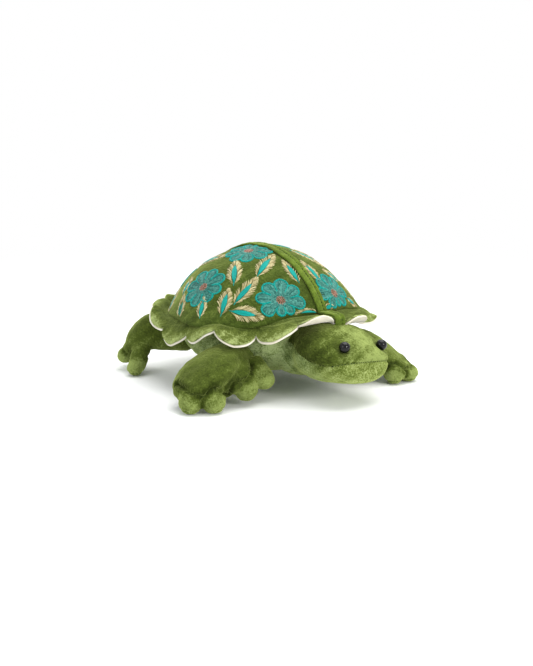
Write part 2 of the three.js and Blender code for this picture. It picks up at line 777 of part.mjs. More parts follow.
function legLoft(leg, inset) {
  const spine = legSpine(leg);
  const across = new THREE.Vector3(0, 1, 0);
  const rings = spine.map(({ point, halfWidth, halfThickness }, i) => {
    const before = spine[Math.max(0, i - 1)].point;
    const after = spine[Math.min(spine.length - 1, i + 1)].point;
    const along = after.clone().sub(before).setY(0).normalize();
    point.addScaledVector(along, -inset * leg.sections[i][0]);
    if (i === spine.length - 1) return [point];
    const up = new THREE.Vector3().crossVectors(along, across);
    const side = across.clone().multiplyScalar(halfWidth - inset);
    up.multiplyScalar(halfThickness - inset);
    return sectionRing(point, side, up, LEG_ROUNDNESS, LEG_RING_POINTS);
  });
  return loft([[legSpine(leg)[0].point], ...rings]);
}

// Height of the palm's middle at a distance out from the pivot.
function palmHeight(leg, distance) {
  const spine = legSpine(leg).map(({ point }) => point);
  const i = spine.findIndex((point) => point.x >= distance);
  if (i < 1) return spine[0].z;
  const t = (distance - spine[i - 1].x) / (spine[i].x - spine[i - 1].x);
  return THREE.MathUtils.lerp(spine[i - 1].z, spine[i].z, t);
}

// A toe swells from a root inside the palm to its pad, and closes beyond the pad. One of its
// sides lies down.
function toe(leg, [reach, forward, rise, turn], inset) {
  const heading = turn * (Math.PI / 2);
  const ahead = new THREE.Vector3(Math.cos(heading), Math.sin(heading), 0);
  const side = new THREE.Vector3(-Math.sin(heading), Math.cos(heading), 0);
  const up = new THREE.Vector3(0, 0, 1);
  const radius = TOE_RADIUS - inset;
  const padHeight = TOE_RADIUS * Math.cos(Math.PI / TOE_SIDES) - SOLE_FLAT_DEPTH + leg.height * rise;
  const pad = new THREE.Vector3(leg.reach * reach, (leg.width / 2) * forward, padHeight);
  const rootReach = leg.reach * reach * TOE_ROOT_REACH_SHARE;
  const rootForward = (leg.width / 2) * forward * TOE_ROOT_FORWARD_SHARE;
  const root = new THREE.Vector3(rootReach, rootForward, palmHeight(leg, rootReach));
  const front = pad.clone().addScaledVector(ahead, radius * TOE_FRONT_SHARE);
  const tip = pad.clone().addScaledVector(ahead, radius);
  const ring = (centre, share) => {
    const width = side.clone().multiplyScalar(radius * share);
    const height = up.clone().multiplyScalar(radius * share);
    return sectionRing(centre, width, height, FULLY_ROUND, TOE_SIDES, HALF_SIDE);
  };
  const rootRing = ring(root, TOE_ROOT_WIDTH_SHARE);
  const frontRing = ring(front, TOE_FRONT_WIDTH_SHARE);
  return loft([[root], rootRing, ring(pad, 1), frontRing, [tip]]);
}

function legForm(leg, inset) {
  const frame = legFrame(leg);
  let form = toSolid(moved(legLoft(leg, inset), frame));
  leg.toes.forEach((row) => {
    form = form.add(toSolid(moved(toe(leg, row, inset), frame)));
  });
  form = form.add(legBall(leg)(-inset));
  return form.subtract(floorBlock(inset));
}

// A leg's seam runs round its edge, along the middle of its thickness.
function legHalf(leg, above) {
  const spine = legSpine(leg).map(({ point }) => [point.x, point.z]);
  const nudge = above ? PIECE_GAP / 2 : -PIECE_GAP / 2;
  const [startX, startZ] = spine[0];
  const [endX, endZ] = spine[spine.length - 1];
  const seam = [[startX - CUT_OVERRUN, startZ], ...spine, [endX + CUT_OVERRUN, endZ]];
  const edge = seam.map(([x, z]) => [x, z + nudge]);
  const far = above ? leg.height + CUT_OVERRUN : -CUT_OVERRUN;
  const outline = [...edge, [endX + CUT_OVERRUN, far], [startX - CUT_OVERRUN, far]];
  const turned = sidePrism(outline, leg.width + CUT_OVERRUN);
  const swap = new THREE.Matrix4().makeBasis(
    new THREE.Vector3(0, -1, 0),
    new THREE.Vector3(1, 0, 0),
    new THREE.Vector3(0, 0, 1),
  );
  return toSolid(moved(turned, legFrame(leg).multiply(swap)));
}

// Scene graph

const group = new THREE.Group();
group.name = 'plush_turtle';

function addNode(name, solid, color, roughness) {
  const material = new THREE.MeshStandardMaterial({ color, roughness, metalness: 0 });
  const mesh = new THREE.Mesh(toGeometry(solid.simplify(FACET_TOLERANCE)), material);
  mesh.name = name;
  group.add(mesh);
}

function addBody() {
  const cover = coverOf(torsoForm);
  addNode('body_back_panel', cover.intersect(aboveSeam(bodySeam)), SAGE_PLUSH, CLOTH_ROUGHNESS);
  addNode('body_belly_panel', cover.intersect(belowSeam(bodySeam)), SAGE_PLUSH, CLOTH_ROUGHNESS);
  addNode('body_filling', stuffingOf(torsoForm), STUFFING_WHITE, CLOTH_ROUGHNESS);
}

function addShell() {
  addNode('shell_dome_cover', domeCover(), DARK_VELVET, CLOTH_ROUGHNESS);
  addNode('shell_dome_filling', domeFilling(), STUFFING_WHITE, CLOTH_ROUGHNESS);
  addNode('shell_base_pad', basePad(), CREAM_LINING, CLOTH_ROUGHNESS);
  addNode('shell_rim_velvet', rimVelvet(), RIM_GREEN, CLOTH_ROUGHNESS);
  addNode('shell_rim_lining', rimLining(), CREAM_LINING, CLOTH_ROUGHNESS);
  addNode('shell_strap', strap(), STRAP_GREEN, CLOTH_ROUGHNESS);
}

function addHead() {
  const eyes = eyeSeats();
  let cover = coverOf(headForm);
  let filling = stuffingOf(headForm);
  eyes.forEach((eye) => {
    cover = cover.subtract(eyeBore(eye));
    filling = filling.subtract(eyeBore(eye));
  });
  addNode('head_upper_panel', cover.intersect(aboveSeam(headSeam)), DARK_VELVET, CLOTH_ROUGHNESS);
  addNode('head_lower_panel', cover.intersect(belowSeam(headSeam)), SAGE_PLUSH, CLOTH_ROUGHNESS);
  addNode('head_filling', filling, STUFFING_WHITE, CLOTH_ROUGHNESS);
  addNode('mouth_stitch', mouthStitch(), THREAD_GREEN, CLOTH_ROUGHNESS);
  eyes.forEach((eye) => {
    const name = eye.side < 0 ? 'right_eye' : 'left_eye';
    addNode(`${name}_bead`, eyeBead(eye), BEAD_BLACK, BEAD_ROUGHNESS);
    addNode(`${name}_washer`, eyeWasher(eye), WASHER_WHITE, WASHER_ROUGHNESS);
  });
}

function addLeg(leg) {
  const form = (inset) => legForm(leg, inset);
  const cover = coverOf(form);
  addNode(`${leg.name}_upper_panel`, cover.intersect(legHalf(leg, true)), LEG_VELVET, CLOTH_ROUGHNESS);
  addNode(`${leg.name}_sole_panel`, cover.intersect(legHalf(leg, false)), SAGE_PLUSH, CLOTH_ROUGHNESS);
  addNode(`${leg.name}_filling`, stuffingOf(form), STUFFING_WHITE, CLOTH_ROUGHNESS);
}

addBody();
addShell();
addHead();
LEGS.forEach(addLeg);

// The origin sits under the middle of the whole, on the floor.
const bounds = new THREE.Box3().setFromObject(group);
const middle = bounds.getCenter(new THREE.Vector3());
group.position.set(-middle.x, -middle.y, -bounds.min.z);

export default group;
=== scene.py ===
import json
import math

import bmesh
import bpy
import numpy as np
from mathutils import Matrix, Vector, noise
from mathutils.bvhtree import BVHTree


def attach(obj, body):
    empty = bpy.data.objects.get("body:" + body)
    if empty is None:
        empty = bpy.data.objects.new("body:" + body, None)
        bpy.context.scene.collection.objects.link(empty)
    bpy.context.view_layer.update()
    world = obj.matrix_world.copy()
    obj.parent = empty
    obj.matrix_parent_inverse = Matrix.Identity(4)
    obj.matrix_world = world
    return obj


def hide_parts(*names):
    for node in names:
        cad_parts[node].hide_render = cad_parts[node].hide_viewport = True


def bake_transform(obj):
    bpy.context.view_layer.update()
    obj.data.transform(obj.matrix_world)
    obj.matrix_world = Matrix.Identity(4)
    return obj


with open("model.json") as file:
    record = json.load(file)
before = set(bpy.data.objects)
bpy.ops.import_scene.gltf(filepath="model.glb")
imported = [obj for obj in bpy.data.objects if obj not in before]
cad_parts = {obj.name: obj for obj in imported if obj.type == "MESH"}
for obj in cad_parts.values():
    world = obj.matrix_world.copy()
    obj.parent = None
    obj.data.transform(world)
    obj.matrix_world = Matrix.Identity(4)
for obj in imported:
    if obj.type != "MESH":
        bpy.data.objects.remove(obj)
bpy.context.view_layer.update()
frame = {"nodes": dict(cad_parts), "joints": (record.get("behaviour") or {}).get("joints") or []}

MM = 0.001
RAD = math.pi / 180

# The model's own coordinates are millimetres: the shell's axis near x = y = 0, the face towards -y.
NECK_Y = -52.0
NECK_PIVOT = np.array([0.0, NECK_Y, 33.5])
joints = {j["name"]: np.array(j["pos_m"]) for j in frame["joints"]}
ORIGIN = joints["head_turn"] - NECK_PIVOT * MM


def to_frame(points):
    return np.asarray(points, float) * MM + ORIGIN


def from_frame(points):
    return (np.array(points) - ORIGIN) / MM


# ---------------------------------------------------------------- mesh helpers


def linked(name, data):
    obj = bpy.data.objects.new(name, data)
    bpy.context.scene.collection.objects.link(obj)
    return obj


def shade_smooth(mesh):
    mesh.polygons.foreach_set("use_smooth", [True] * len(mesh.polygons))


def make_object(name, verts_mm, faces):
    mesh = bpy.data.meshes.new(name)
    mesh.from_pydata([tuple(p) for p in to_frame(verts_mm)], [], [tuple(f) for f in faces])
    mesh.update()
    shade_smooth(mesh)
    return linked(name, mesh)


def remove(obj):
    mesh = obj.data
    bpy.data.objects.remove(obj)
    bpy.data.meshes.remove(mesh)


def read(items, key, width=3, kind=float):
    """A property of all the items of a mesh, a row for each."""
    values = np.empty(len(items) * width, kind)
    items.foreach_get(key, values)
    return values.reshape(-1, width)


def coords(obj):
    return from_frame(read(obj.data.vertices, "co"))


def set_coords(obj, verts_mm):
    obj.data.vertices.foreach_set("co", to_frame(verts_mm).astype(np.float32).ravel())
    obj.data.update()


def normals(obj):
    return read(obj.data.vertex_normals, "vector")


def edges(obj):
    return read(obj.data.edges, "vertices", 2, np.int64)


def press_in(obj, depth):
    """Moves points inwards along their normals, by one depth in mm or by one for each."""
    set_coords(obj, coords(obj) - normals(obj) * np.reshape(depth, (-1, 1)))


def neighbour_sum(e, values):
    total = np.zeros_like(values)
    np.add.at(total, e[:, 0], values[e[:, 1]])
    np.add.at(total, e[:, 1], values[e[:, 0]])
    return total


def neighbour_count(e, size):
    return np.bincount(e.ravel(), minlength=size)[:, None].clip(1)


RELAX_STEP, RELAX_BACK = 0.5, 0.92


def relax(obj, times, mask=None):
    """Laplacian smoothing, with a small push back that keeps the volume."""
    e, v = edges(obj), coords(obj)
    count = neighbour_count(e, len(v))
    hold = 1.0 if mask is None else mask[:, None]
    for k in range(times * 2):
        step = RELAX_STEP if k % 2 == 0 else -RELAX_STEP * RELAX_BACK
        v += (neighbour_sum(e, v) / count - v) * step * hold
    set_coords(obj, v)


def apply_modifier(obj, kind, **values):
    mod = obj.modifiers.new(kind, kind)
    for key, value in values.items():
        setattr(mod, key, value)
    mesh = bpy.data.meshes.new_from_object(obj.evaluated_get(bpy.context.evaluated_depsgraph_get()))
    obj.modifiers.clear()
    old, obj.data = obj.data, mesh
    bpy.data.meshes.remove(old)
    shade_smooth(mesh)


def voxel_union(obj, size_mm):
    apply_modifier(obj, "REMESH", mode="VOXEL", voxel_size=size_mm * MM)


def subdivide(obj):
    apply_modifier(obj, "SUBSURF", levels=1, render_levels=1)


def thicken(obj, thickness_mm=1.0):
    apply_modifier(obj, "SOLIDIFY", thickness=thickness_mm * MM, offset=-1, use_even_offset=False)


def ring_faces(count, size, closed=False):
    """Quads between neighbouring rings of so many points each."""
    faces = []
    for i in range(count if closed else count - 1):
        n = (i + 1) % count
        for j in range(size):
            k = (j + 1) % size
            faces.append((i * size + j, i * size + k, n * size + k, n * size + j))
    return faces


def closed_loft(rings, start, end):
    """Points and faces of a closed skin over rings with as many points each."""
    rings = np.asarray(rings)
    count, size = rings.shape[:2]
    faces = ring_faces(count, size)
    first = count * size
    for j in range(size):
        k = (j + 1) % size
        faces.append((k, j, first))
        faces.append((first - size + j, first - size + k, first + 1))
    return np.vstack([rings.reshape(-1, 3), start, end]), faces


def joined(parts):
    verts, faces, base = [], [], 0
    for v, f in parts:
        verts.append(np.asarray(v))
        faces += [tuple(base + i for i in face) for face in f]
        base += len(v)
    return np.vstack(verts), faces


def smooth_rows(rows, count):
    """Rows of a table passed through by one smooth curve, at count even steps."""
    rows = np.asarray(rows, float)
    padded = np.vstack([2 * rows[0] - rows[1], rows, 2 * rows[-1] - rows[-2]])
    out = []
    for t in np.linspace(0, len(rows) - 1, count):
        i = min(int(t), len(rows) - 2)
        u = t - i
        a, b, c, d = padded[i : i + 4]
        square, cube = 2 * a - 5 * b + 4 * c - d, 3 * b - a - 3 * c + d
        out.append(0.5 * (2 * b + (c - a) * u + square * u**2 + cube * u**3))
    return np.array(out)


def length_along(line):
    """The way from a line's start to each of its points."""
    return np.concatenate([[0], np.cumsum(np.linalg.norm(np.diff(line, axis=0), axis=1))])


def round_angles(count):
    return np.arange(count) / count * 2 * np.pi


def circle(radius, height, count):
    a = round_angles(count)
    return np.stack([radius * np.cos(a), radius * np.sin(a), np.full(count, height)], 1)


def section(centre, side, up, roundness, count):
    angle = round_angles(count)
    c, s = np.cos(angle), np.sin(angle)
    reach = (np.abs(c) ** roundness + np.abs(s) ** roundness) ** (-1 / roundness)
    return centre + np.outer(c * reach, side) + np.outer(s * reach, up)


def noise_at(points, scale_mm, seed):
    """Smooth noise of about -1 to 1 at points in mm."""
    shift = Vector((seed, seed * 1.7, -seed))
    return np.array([noise.noise(Vector(p / scale_mm) + shift) for p in points])


def hill(x, centre, width):
    return np.exp(-(((x - centre) / width) ** 2))


def rise(x, start, length):
    return np.clip((x - start) / length, 0, 1)


def smoothstep(x, low, high):
    t = rise(x, low, high - low)
    return t * t * (3 - 2 * t)


def rotation(axis, degrees):
    return np.array(Matrix.Rotation(degrees * RAD, 3, axis))


def about(points, pivot, turn):
    return (np.asarray(points) - pivot) @ turn.T + pivot


# ---------------------------------------------------------------- cloth and seams

CLOTH_FRAMES = 18
CLOTH = dict(
    quality=5,
    mass=0.3,
    tension_stiffness=12,
    compression_stiffness=12,
    shear_stiffness=6,
    bending_stiffness=0.4,
    use_pressure=True,
    vertex_group_mass="held",
)


def plump(obj, pinned, pressure, cap_mm):
    """Blows the stuffed form up a little, as filling does. Pinned points (0 to 1) hold their place."""
    rest = coords(obj)
    group = obj.vertex_groups.new(name="held")
    for i in np.nonzero(pinned > 0.01)[0]:
        group.add([int(i)], float(pinned[i]), "REPLACE")
    mod = obj.modifiers.new("cloth", "CLOTH")
    for key, value in CLOTH.items():
        setattr(mod.settings, key, value)
    mod.settings.uniform_pressure_force = pressure
    mod.settings.effector_weights.gravity = 0
    mod.collision_settings.use_collision = False
    mod.point_cache.frame_start, mod.point_cache.frame_end = 1, CLOTH_FRAMES
    for f in range(1, CLOTH_FRAMES + 1):
        bpy.context.scene.frame_set(f)
    blown = obj.evaluated_get(bpy.context.evaluated_depsgraph_get())
    step = from_frame(read(blown.to_mesh().vertices, "co")) - rest
    blown.to_mesh_clear()
    length = np.linalg.norm(step, axis=1)[:, None].clip(1e-9)
    step *= np.minimum(length, cap_mm) / length
    obj.modifiers.clear()
    obj.vertex_groups.clear()
    bpy.context.scene.frame_set(1)
    set_coords(obj, rest + step)


def split_at(obj, field, names):
    """Cuts a mesh along field = 0 into two open pieces: where it is above, and below."""
    bm = bmesh.new()
    bm.from_mesh(obj.data)
    value = {v: f if abs(f) >= 1e-4 else 1e-4 for v, f in zip(bm.verts, field(coords(obj)))}
    for edge in list(bm.edges):
        a, b = edge.verts
        fa, fb = value[a], value[b]
        if fa * fb < 0:
            _, v = bmesh.utils.edge_split(edge, a, fa / (fa - fb))
            value[v] = 0.0
    for face in list(bm.faces):
        on = [v for v in face.verts if value[v] == 0.0]
        if len(on) >= 2:
            bmesh.utils.face_split(face, on[0], on[1])
    bm.verts.index_update()
    signs = [sum(value[v] for v in f.verts) > 0 for f in bm.faces]
    pieces = []
    for name, above in zip(names, (True, False)):
        copy = bm.copy()
        copy.faces.ensure_lookup_table()
        drop = [copy.faces[i] for i, positive in enumerate(signs) if positive != above]
        bmesh.ops.delete(copy, geom=drop, context="FACES")
        mesh = bpy.data.meshes.new(name)
        copy.to_mesh(mesh)
        copy.free()
        shade_smooth(mesh)
        pieces.append(linked(name, mesh))
    bm.free()
    return pieces


def cut_closed(obj, y, keep_front):
    """Keeps one side of the plane at y and closes the cut."""
    bm = bmesh.new()
    bm.from_mesh(obj.data)
    bmesh.ops.bisect_plane(
        bm,
        geom=bm.verts[:] + bm.edges[:] + bm.faces[:],
        plane_co=Vector(to_frame([0, y, 0])),
        plane_no=Vector((0, 1, 0)),
        clear_outer=keep_front,
        clear_inner=not keep_front,
    )
    bmesh.ops.holes_fill(bm, edges=[e for e in bm.edges if e.is_boundary])
    bmesh.ops.recalc_face_normals(bm, faces=bm.faces[:])
    bm.to_mesh(obj.data)
    bm.free()
    obj.data.update()


def keep_lay(obj):
    """Stores where each point lies at rest, so that the cloth's pattern moves with the cloth."""
    layer = obj.data.attributes.new("lay", "FLOAT_VECTOR", "POINT")
    layer.data.foreach_set("vector", read(obj.data.vertices, "co", kind=np.float32).ravel())


def paint(obj, name, values):
    layer = obj.data.attributes.new(name, "FLOAT", "POINT")
    layer.data.foreach_set("value", np.asarray(values, np.float32))


def crease_pins(obj, gain):
    """Holds the hollows between forms, where cloth is caught in."""
    v, e = coords(obj), edges(obj)
    count = neighbour_count(e, len(v))
    hollow = ((neighbour_sum(e, v) / count - v) * normals(obj)).sum(1)
    for _ in range(2):
        hollow = 0.5 * hollow + 0.5 * neighbour_sum(e, hollow) / count[:, 0]
    return np.clip(hollow * gain, 0, 1)


def groove(obj, field, depth, width, pucker=0.0, pitch=4.0, along=lambda v: v[:, 1]):
    """Draws a seam in along field = 0, with puckers of a pitch along it."""
    v = coords(obj)
    f, s = field(v), along(v)
    pull = np.sin(2 * np.pi * s / pitch + 1.3 * np.sin(s / 7.0))
    press_in(obj, depth * hill(f, 0, width) + pucker * pull * hill(f, 0, width * 2.6))


def ripple(obj, amount, scale, seed, mask=1.0, stretch=(1, 1, 1)):
    press_in(obj, -amount * (noise_at(coords(obj) * stretch, scale, seed) * mask))


# ---------------------------------------------------------------- materials


class Nodes:
    """A short hand for building the nodes of a new material or world."""

    def __init__(self, owner):
        self.owner = owner
        owner.use_nodes = True
        self.tree = owner.node_tree
        self.tree.nodes.clear()

    def node(self, kind, sockets=(), **settings):
        """A node, its settings, and its inputs: each from another node, or a plain number or colour."""
        n = self.tree.nodes.new("ShaderNode" + kind)
        for key, value in settings.items():
            setattr(n, key, value)
        for key, value in dict(sockets).items():
            if isinstance(value, bpy.types.NodeSocket):
                self.tree.links.new(value, n.inputs[key])
            else:
                colour = n.inputs[key].type == "RGBA"
                n.inputs[key].default_value = (*value, 1) if colour else value
        return n

    def attribute(self, name, output="Fac"):
        return self.node("Attribute", attribute_name=name).outputs[output]

    def stretched(self, vector, scale, turn):
        sockets = {"Vector": vector, "Scale": scale, "Rotation": [a * RAD for a in turn]}
        return self.node("Mapping", sockets).outputs["Vector"]

    def noise(self, vector, size_mm, detail, rough, distort=0.0):
        sockets = {"Vector": vector, "Scale": 1000 / size_mm, "Detail": detail}
        sockets |= {"Roughness": rough, "Distortion": distort}
        return self.node("TexNoise", sockets).outputs["Fac"]

    def wave(self, vector, direction, scale, distort, detail):
        sockets = {"Vector": vector, "Scale": scale, "Distortion": distort, "Detail": detail}
        return self.node("TexWave", sockets, wave_type="BANDS", bands_direction=direction).outputs["Fac"]

    def ramp(self, value, colours):
        """Colours at even steps over 0 to 1."""
        n = self.node("ValToRGB", {"Fac": value})
        elements = n.color_ramp.elements
        while len(elements) < len(colours):
            elements.new(0.5)
        for i, (element, colour) in enumerate(zip(elements, colours)):
            element.position = i / (len(colours) - 1)
            element.color = (*colour, 1)
        return n.outputs["Color"]

    def grey(self, value, low, high, out_low=0.0, out_high=1.0):
        sockets = {"Value": value, "From Min": low, "From Max": high, "To Min": out_low, "To Max": out_high}
        return self.node("MapRange", sockets).outputs["Result"]

    def mix(self, factor, a, b):
        return self.node("Mix", {0: factor, 6: a, 7: b}, data_type="RGBA").outputs[2]

    def maths(self, operation, a, b):
        return self.node("Math", {0: a, 1: b}, operation=operation).outputs[0]

    def total(self, *parts):
        """The sum of values, each times its share."""
        first, *others = [self.maths("MULTIPLY", value, share) for value, share in parts]
        for part in others:
            first = self.maths("ADD", first, part)
        return first

    def bump(self, height, strength, distance_mm, normal=None):
        sockets = {"Height": height, "Strength": strength, "Distance": distance_mm * MM}
        if normal is not None:
            sockets["Normal"] = normal
        return self.node("Bump", sockets).outputs["Normal"]

    def shader(self, colour, normal=None, **sockets):
        sockets = {key.replace("_", " "): value for key, value in sockets.items()}
        sockets["Base Color"] = colour
        if normal is not None:
            sockets["Normal"] = normal
        return self.node("BsdfPrincipled", sockets).outputs[0]

    def material(self, shader):
        self.node("OutputMaterial", {"Surface": shader})
        return self.owner


def surface(name):
    return Nodes(bpy.data.materials.new(name))


def pile_cloth(name, colours, warm_and_lit=None, patch_mm=12.0, crush=1.0, sheen=0.5, speckle=0.36):
    """Velvet or plush: pile that leans in patches, crush marks, rows of the ground cloth, grain, and the
    painted light and shade of each point.
    """
    n = surface(name)
    lay = n.attribute("lay", "Vector")
    patches = n.noise(lay, patch_mm, 3, 0.55, 0.7)
    crushed = n.noise(n.stretched(lay, (1, 0.55, 1), (20, 10, 35)), 3.4, 3, 0.6, 1.4)
    grain = n.noise(lay, 1.25, 2, 0.8)
    rows = n.wave(n.stretched(lay, (1, 1, 1), (35, 15, 0)), "Z", 1000 / 1.5 / 20, 3.0, 2.0)
    rest = 0.94 - speckle
    shade = n.total((patches, 0.42 * rest), (crushed, 0.58 * rest), (grain, speckle), (rows, 0.06))
    spread = 0.155 / crush
    place = n.grey(shade, 0.5 - spread, 0.5 + spread)
    # the painted light and shade of each point moves it along the colours
    place = n.maths("ADD", place, n.attribute("tone_and_shade"))
    colour = n.ramp(place, colours)
    if warm_and_lit:
        colour = n.mix(n.attribute("warm_and_lit"), colour, n.ramp(place, warm_and_lit))
    normal = n.bump(crushed, 0.5 + 0.3 * crush, 0.9)
    normal = n.bump(grain, 0.55, 0.3, normal)
    shader = n.shader(
        colour,
        normal,
        Roughness=0.9,
        Sheen_Weight=sheen,
        Sheen_Roughness=0.42,
        Sheen_Tint=(0.7, 0.82, 0.24),
        Specular_IOR_Level=0.06,
    )
    return n.material(shader)


def woven_cloth(name, dark, light):
    n = surface(name)
    lay = n.attribute("lay", "Vector")
    scale = 1000 / 0.7 / (2 * math.pi) * 2
    threads = [n.wave(n.stretched(lay, (1, 1, 1), (0, 0, turn)), "X", scale, 0.6, 1) for turn in (0, 90)]
    weave = n.maths("MULTIPLY", *threads)
    colour = n.mix(n.grey(n.noise(lay, 14, 3, 0.5), 0.35, 0.7), dark, light)
    colour = n.mix(n.grey(weave, 0, 1, 0.0, 0.12), colour, (0.45, 0.4, 0.3))
    normal = n.bump(weave, 0.35, 0.12)
    normal = n.bump(n.noise(lay, 5, 2, 0.5), 0.3, 0.5, normal)
    return n.material(n.shader(colour, normal, Roughness=0.9, Sheen_Weight=0.3, Sheen_Roughness=0.5))


def thread_stuff(name, dark, light):
    n = surface(name)
    lay = n.attribute("lay", "Vector")
    change, wide = n.noise(lay, 1.4, 3, 0.7), n.noise(lay, 9, 2, 0.5)
    shade = n.total((change, 0.6), (wide, 0.4), (n.attribute("tone_and_shade"), 0.42))
    twist = n.noise(n.stretched(lay, (1, 1, 1), (30, 20, 45)), 0.3, 1, 0.5)
    shader = n.shader(
        n.ramp(n.grey(shade, 0.3, 0.7), (dark, light)),
        n.bump(twist, 0.4, 0.1),
        Roughness=0.6,
        Specular_IOR_Level=0.14,
        Sheen_Weight=0.06,
        Sheen_Roughness=0.4,
    )
    return n.material(shader)


def bead_stuff(name, dark, light):
    n = surface(name)
    smear = n.noise(n.attribute("lay", "Vector"), 2.5, 3, 0.6)
    gloss = n.grey(smear, 0.3, 0.8, 0.02, 0.06)
    return n.material(n.shader(n.mix(smear, dark, light), Roughness=gloss, Specular_IOR_Level=0.26))


def plain_stuff(name, dark, light, size_mm, rough):
    n = surface(name)
    fuzz = n.noise(n.attribute("lay", "Vector"), size_mm, 4, 0.7)
    normal = n.bump(fuzz, 0.6, 0.6)
    return n.material(n.shader(n.mix(fuzz, dark, light), normal, Roughness=rough, Specular_IOR_Level=0.2))


# Colours of the pile: laid flat, between, and standing; the painted light and shade of each point also moves
# it along them.
OLIVE = ((0.02, 0.03, 0.003), (0.066, 0.092, 0.013), (0.225, 0.28, 0.08))
MOSS = ((0.017, 0.028, 0.003), (0.044, 0.068, 0.009), (0.12, 0.16, 0.03))
LEAF = ((0.03, 0.045, 0.006), (0.09, 0.118, 0.021), (0.32, 0.38, 0.14))
BAND = ((0.055, 0.09, 0.01), (0.11, 0.165, 0.02), (0.2, 0.27, 0.045))
SAGE = ((0.045, 0.07, 0.018), (0.13, 0.178, 0.06), (0.3, 0.37, 0.16))
# JAW: the plush by the jaw, yellower, and lighter as painted light thrown up from the floor.
JAW = ((0.06, 0.085, 0.01), (0.165, 0.21, 0.046), (0.35, 0.41, 0.15))
PILES = {
    "dark_velvet": dict(colours=OLIVE, patch_mm=13),
    "dome_velvet": dict(colours=MOSS, patch_mm=15, crush=0.9, sheen=0.4),
    "leg_velvet": dict(colours=OLIVE, patch_mm=9, crush=0.72, speckle=0.46),
    "sage_plush": dict(colours=SAGE, warm_and_lit=JAW, patch_mm=9, crush=1.35, sheen=0.65, speckle=0.52),
    "rim_velvet": dict(colours=LEAF, patch_mm=11),
    "strap_velvet": dict(colours=BAND, patch_mm=8, crush=0.9, sheen=0.4),
}
OTHERS = {
    "cream_lining": (woven_cloth, (0.68, 0.62, 0.5), (0.83, 0.79, 0.7)),
    "stuffing": (plain_stuff, (0.72, 0.72, 0.68), (0.88, 0.88, 0.85), 1.5, 0.95),
    "dark_thread": (thread_stuff, (0.012, 0.025, 0.004), (0.04, 0.07, 0.012)),
    "black_bead": (bead_stuff, (0.001, 0.001, 0.0015), (0.003, 0.003, 0.004)),
    "washer_plastic": (plain_stuff, (0.6, 0.6, 0.58), (0.75, 0.75, 0.72), 0.8, 0.5),
    "petal_thread": (thread_stuff, (0.008, 0.085, 0.066), (0.066, 0.255, 0.21)),
    "edge_thread": (thread_stuff, (0.0, 0.2, 0.168), (0.001, 0.335, 0.285)),
    "gold_thread": (thread_stuff, (0.26, 0.215, 0.085), (0.62, 0.55, 0.31)),
    "rose_thread": (thread_stuff, (0.24, 0.115, 0.085), (0.4, 0.22, 0.17)),
}
MATERIALS = {name: pile_cloth(name, **facts) for name, facts in PILES.items()}
MATERIALS |= {name: make(name, *facts) for name, (make, *facts) in OTHERS.items()}


def piece(obj, slot, node=None, body="torso", bend=None, material=None):
    """Finishes a piece: its material, chosen by its slot, the solid that it stands for, which it hides, and
    the body that moves it when it has no bend.
    bend: where its bend from the torso to the body starts and ends; not used, and a piece given one is only
    fixed where it lies."""
    obj.data.materials.clear()
    obj.data.materials.append(MATERIALS[material or slot])
    if "lay" not in obj.data.attributes:
        keep_lay(obj)
    if node:
        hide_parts(node)
    if bend:
        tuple(bend[0])
        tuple(bend[1])
        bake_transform(obj)
    else:
        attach(obj, body)


def stuffing(obj, inset, node, body, bend=None):
    """Makes a closed form the stuffing, a little inside its covers."""
    relax(obj, 2)
    press_in(obj, inset)
    shade_smooth(obj.data)
    piece(obj, "stuffing", node, body, bend)


# ---------------------------------------------------------------- camera, light, floor

TARGET = np.array([2.5, -2.5, 36.0])
AZIMUTH, ELEVATION, DISTANCE = -40 * RAD, 12 * RAD, 1000.0
LENS_MM, SENSOR_MM = 67.57, 36
LENS_PX, FRAME_PX = 1250.0, (533, 666)
LEVEL = math.cos(ELEVATION)
BACK = np.array([math.sin(AZIMUTH) * LEVEL, -math.cos(AZIMUTH) * LEVEL, math.sin(ELEVATION)])


def picture_ray(x, y):
    """Start and way, in mm, of the line of sight through a place in the picture, in pixels."""
    right = np.array([math.cos(AZIMUTH), math.sin(AZIMUTH), 0])
    up = np.cross(BACK, right)
    way = right * (x - FRAME_PX[0] / 2) + up * (FRAME_PX[1] / 2 - y) - BACK * LENS_PX
    return TARGET + BACK * DISTANCE, way / np.linalg.norm(way)


def aimed(name, data, place, way):
    """A camera or lamp at a place in mm, turned to look along a way."""
    obj = linked(name, data)
    obj.location = to_frame(place)
    obj.rotation_mode = "QUATERNION"
    obj.rotation_quaternion = Vector(way).to_track_quat("-Z", "Y")
    return obj


def make_camera():
    data = bpy.data.cameras.new("camera")
    data.lens, data.sensor_width = LENS_MM, SENSOR_MM
    data.clip_start, data.clip_end = 0.05, 50
    bpy.context.scene.camera = aimed("camera", data, TARGET + BACK * DISTANCE, -BACK)


# Name, place and aim in mm, size in m, watts and colour.
LAMPS = (
    ("overhead", (180, -60, 900), (0, 0, 30), (0.9, 0.9), 9.6, (1, 0.99, 0.97)),
    ("front", (60, -900, 330), (0, -40, 40), (0.22, 0.22), 4.4, (1, 0.99, 0.97)),
    ("left", (-950, -150, 420), (0, 0, 50), (0.6, 0.6), 2.6, (0.97, 0.98, 1)),
    ("behind", (100, 900, 500), (0, 0, 60), (0.8, 0.5), 3.0, (1, 1, 1)),
)


def make_lamps():
    for name, place, aim, size, watts, colour in LAMPS:
        data = bpy.data.lights.new(name, "AREA")
        data.shape = "RECTANGLE"
        data.size, data.size_y = size
        data.energy, data.color = watts, colour
        aimed(name, data, place, np.subtract(aim, place))


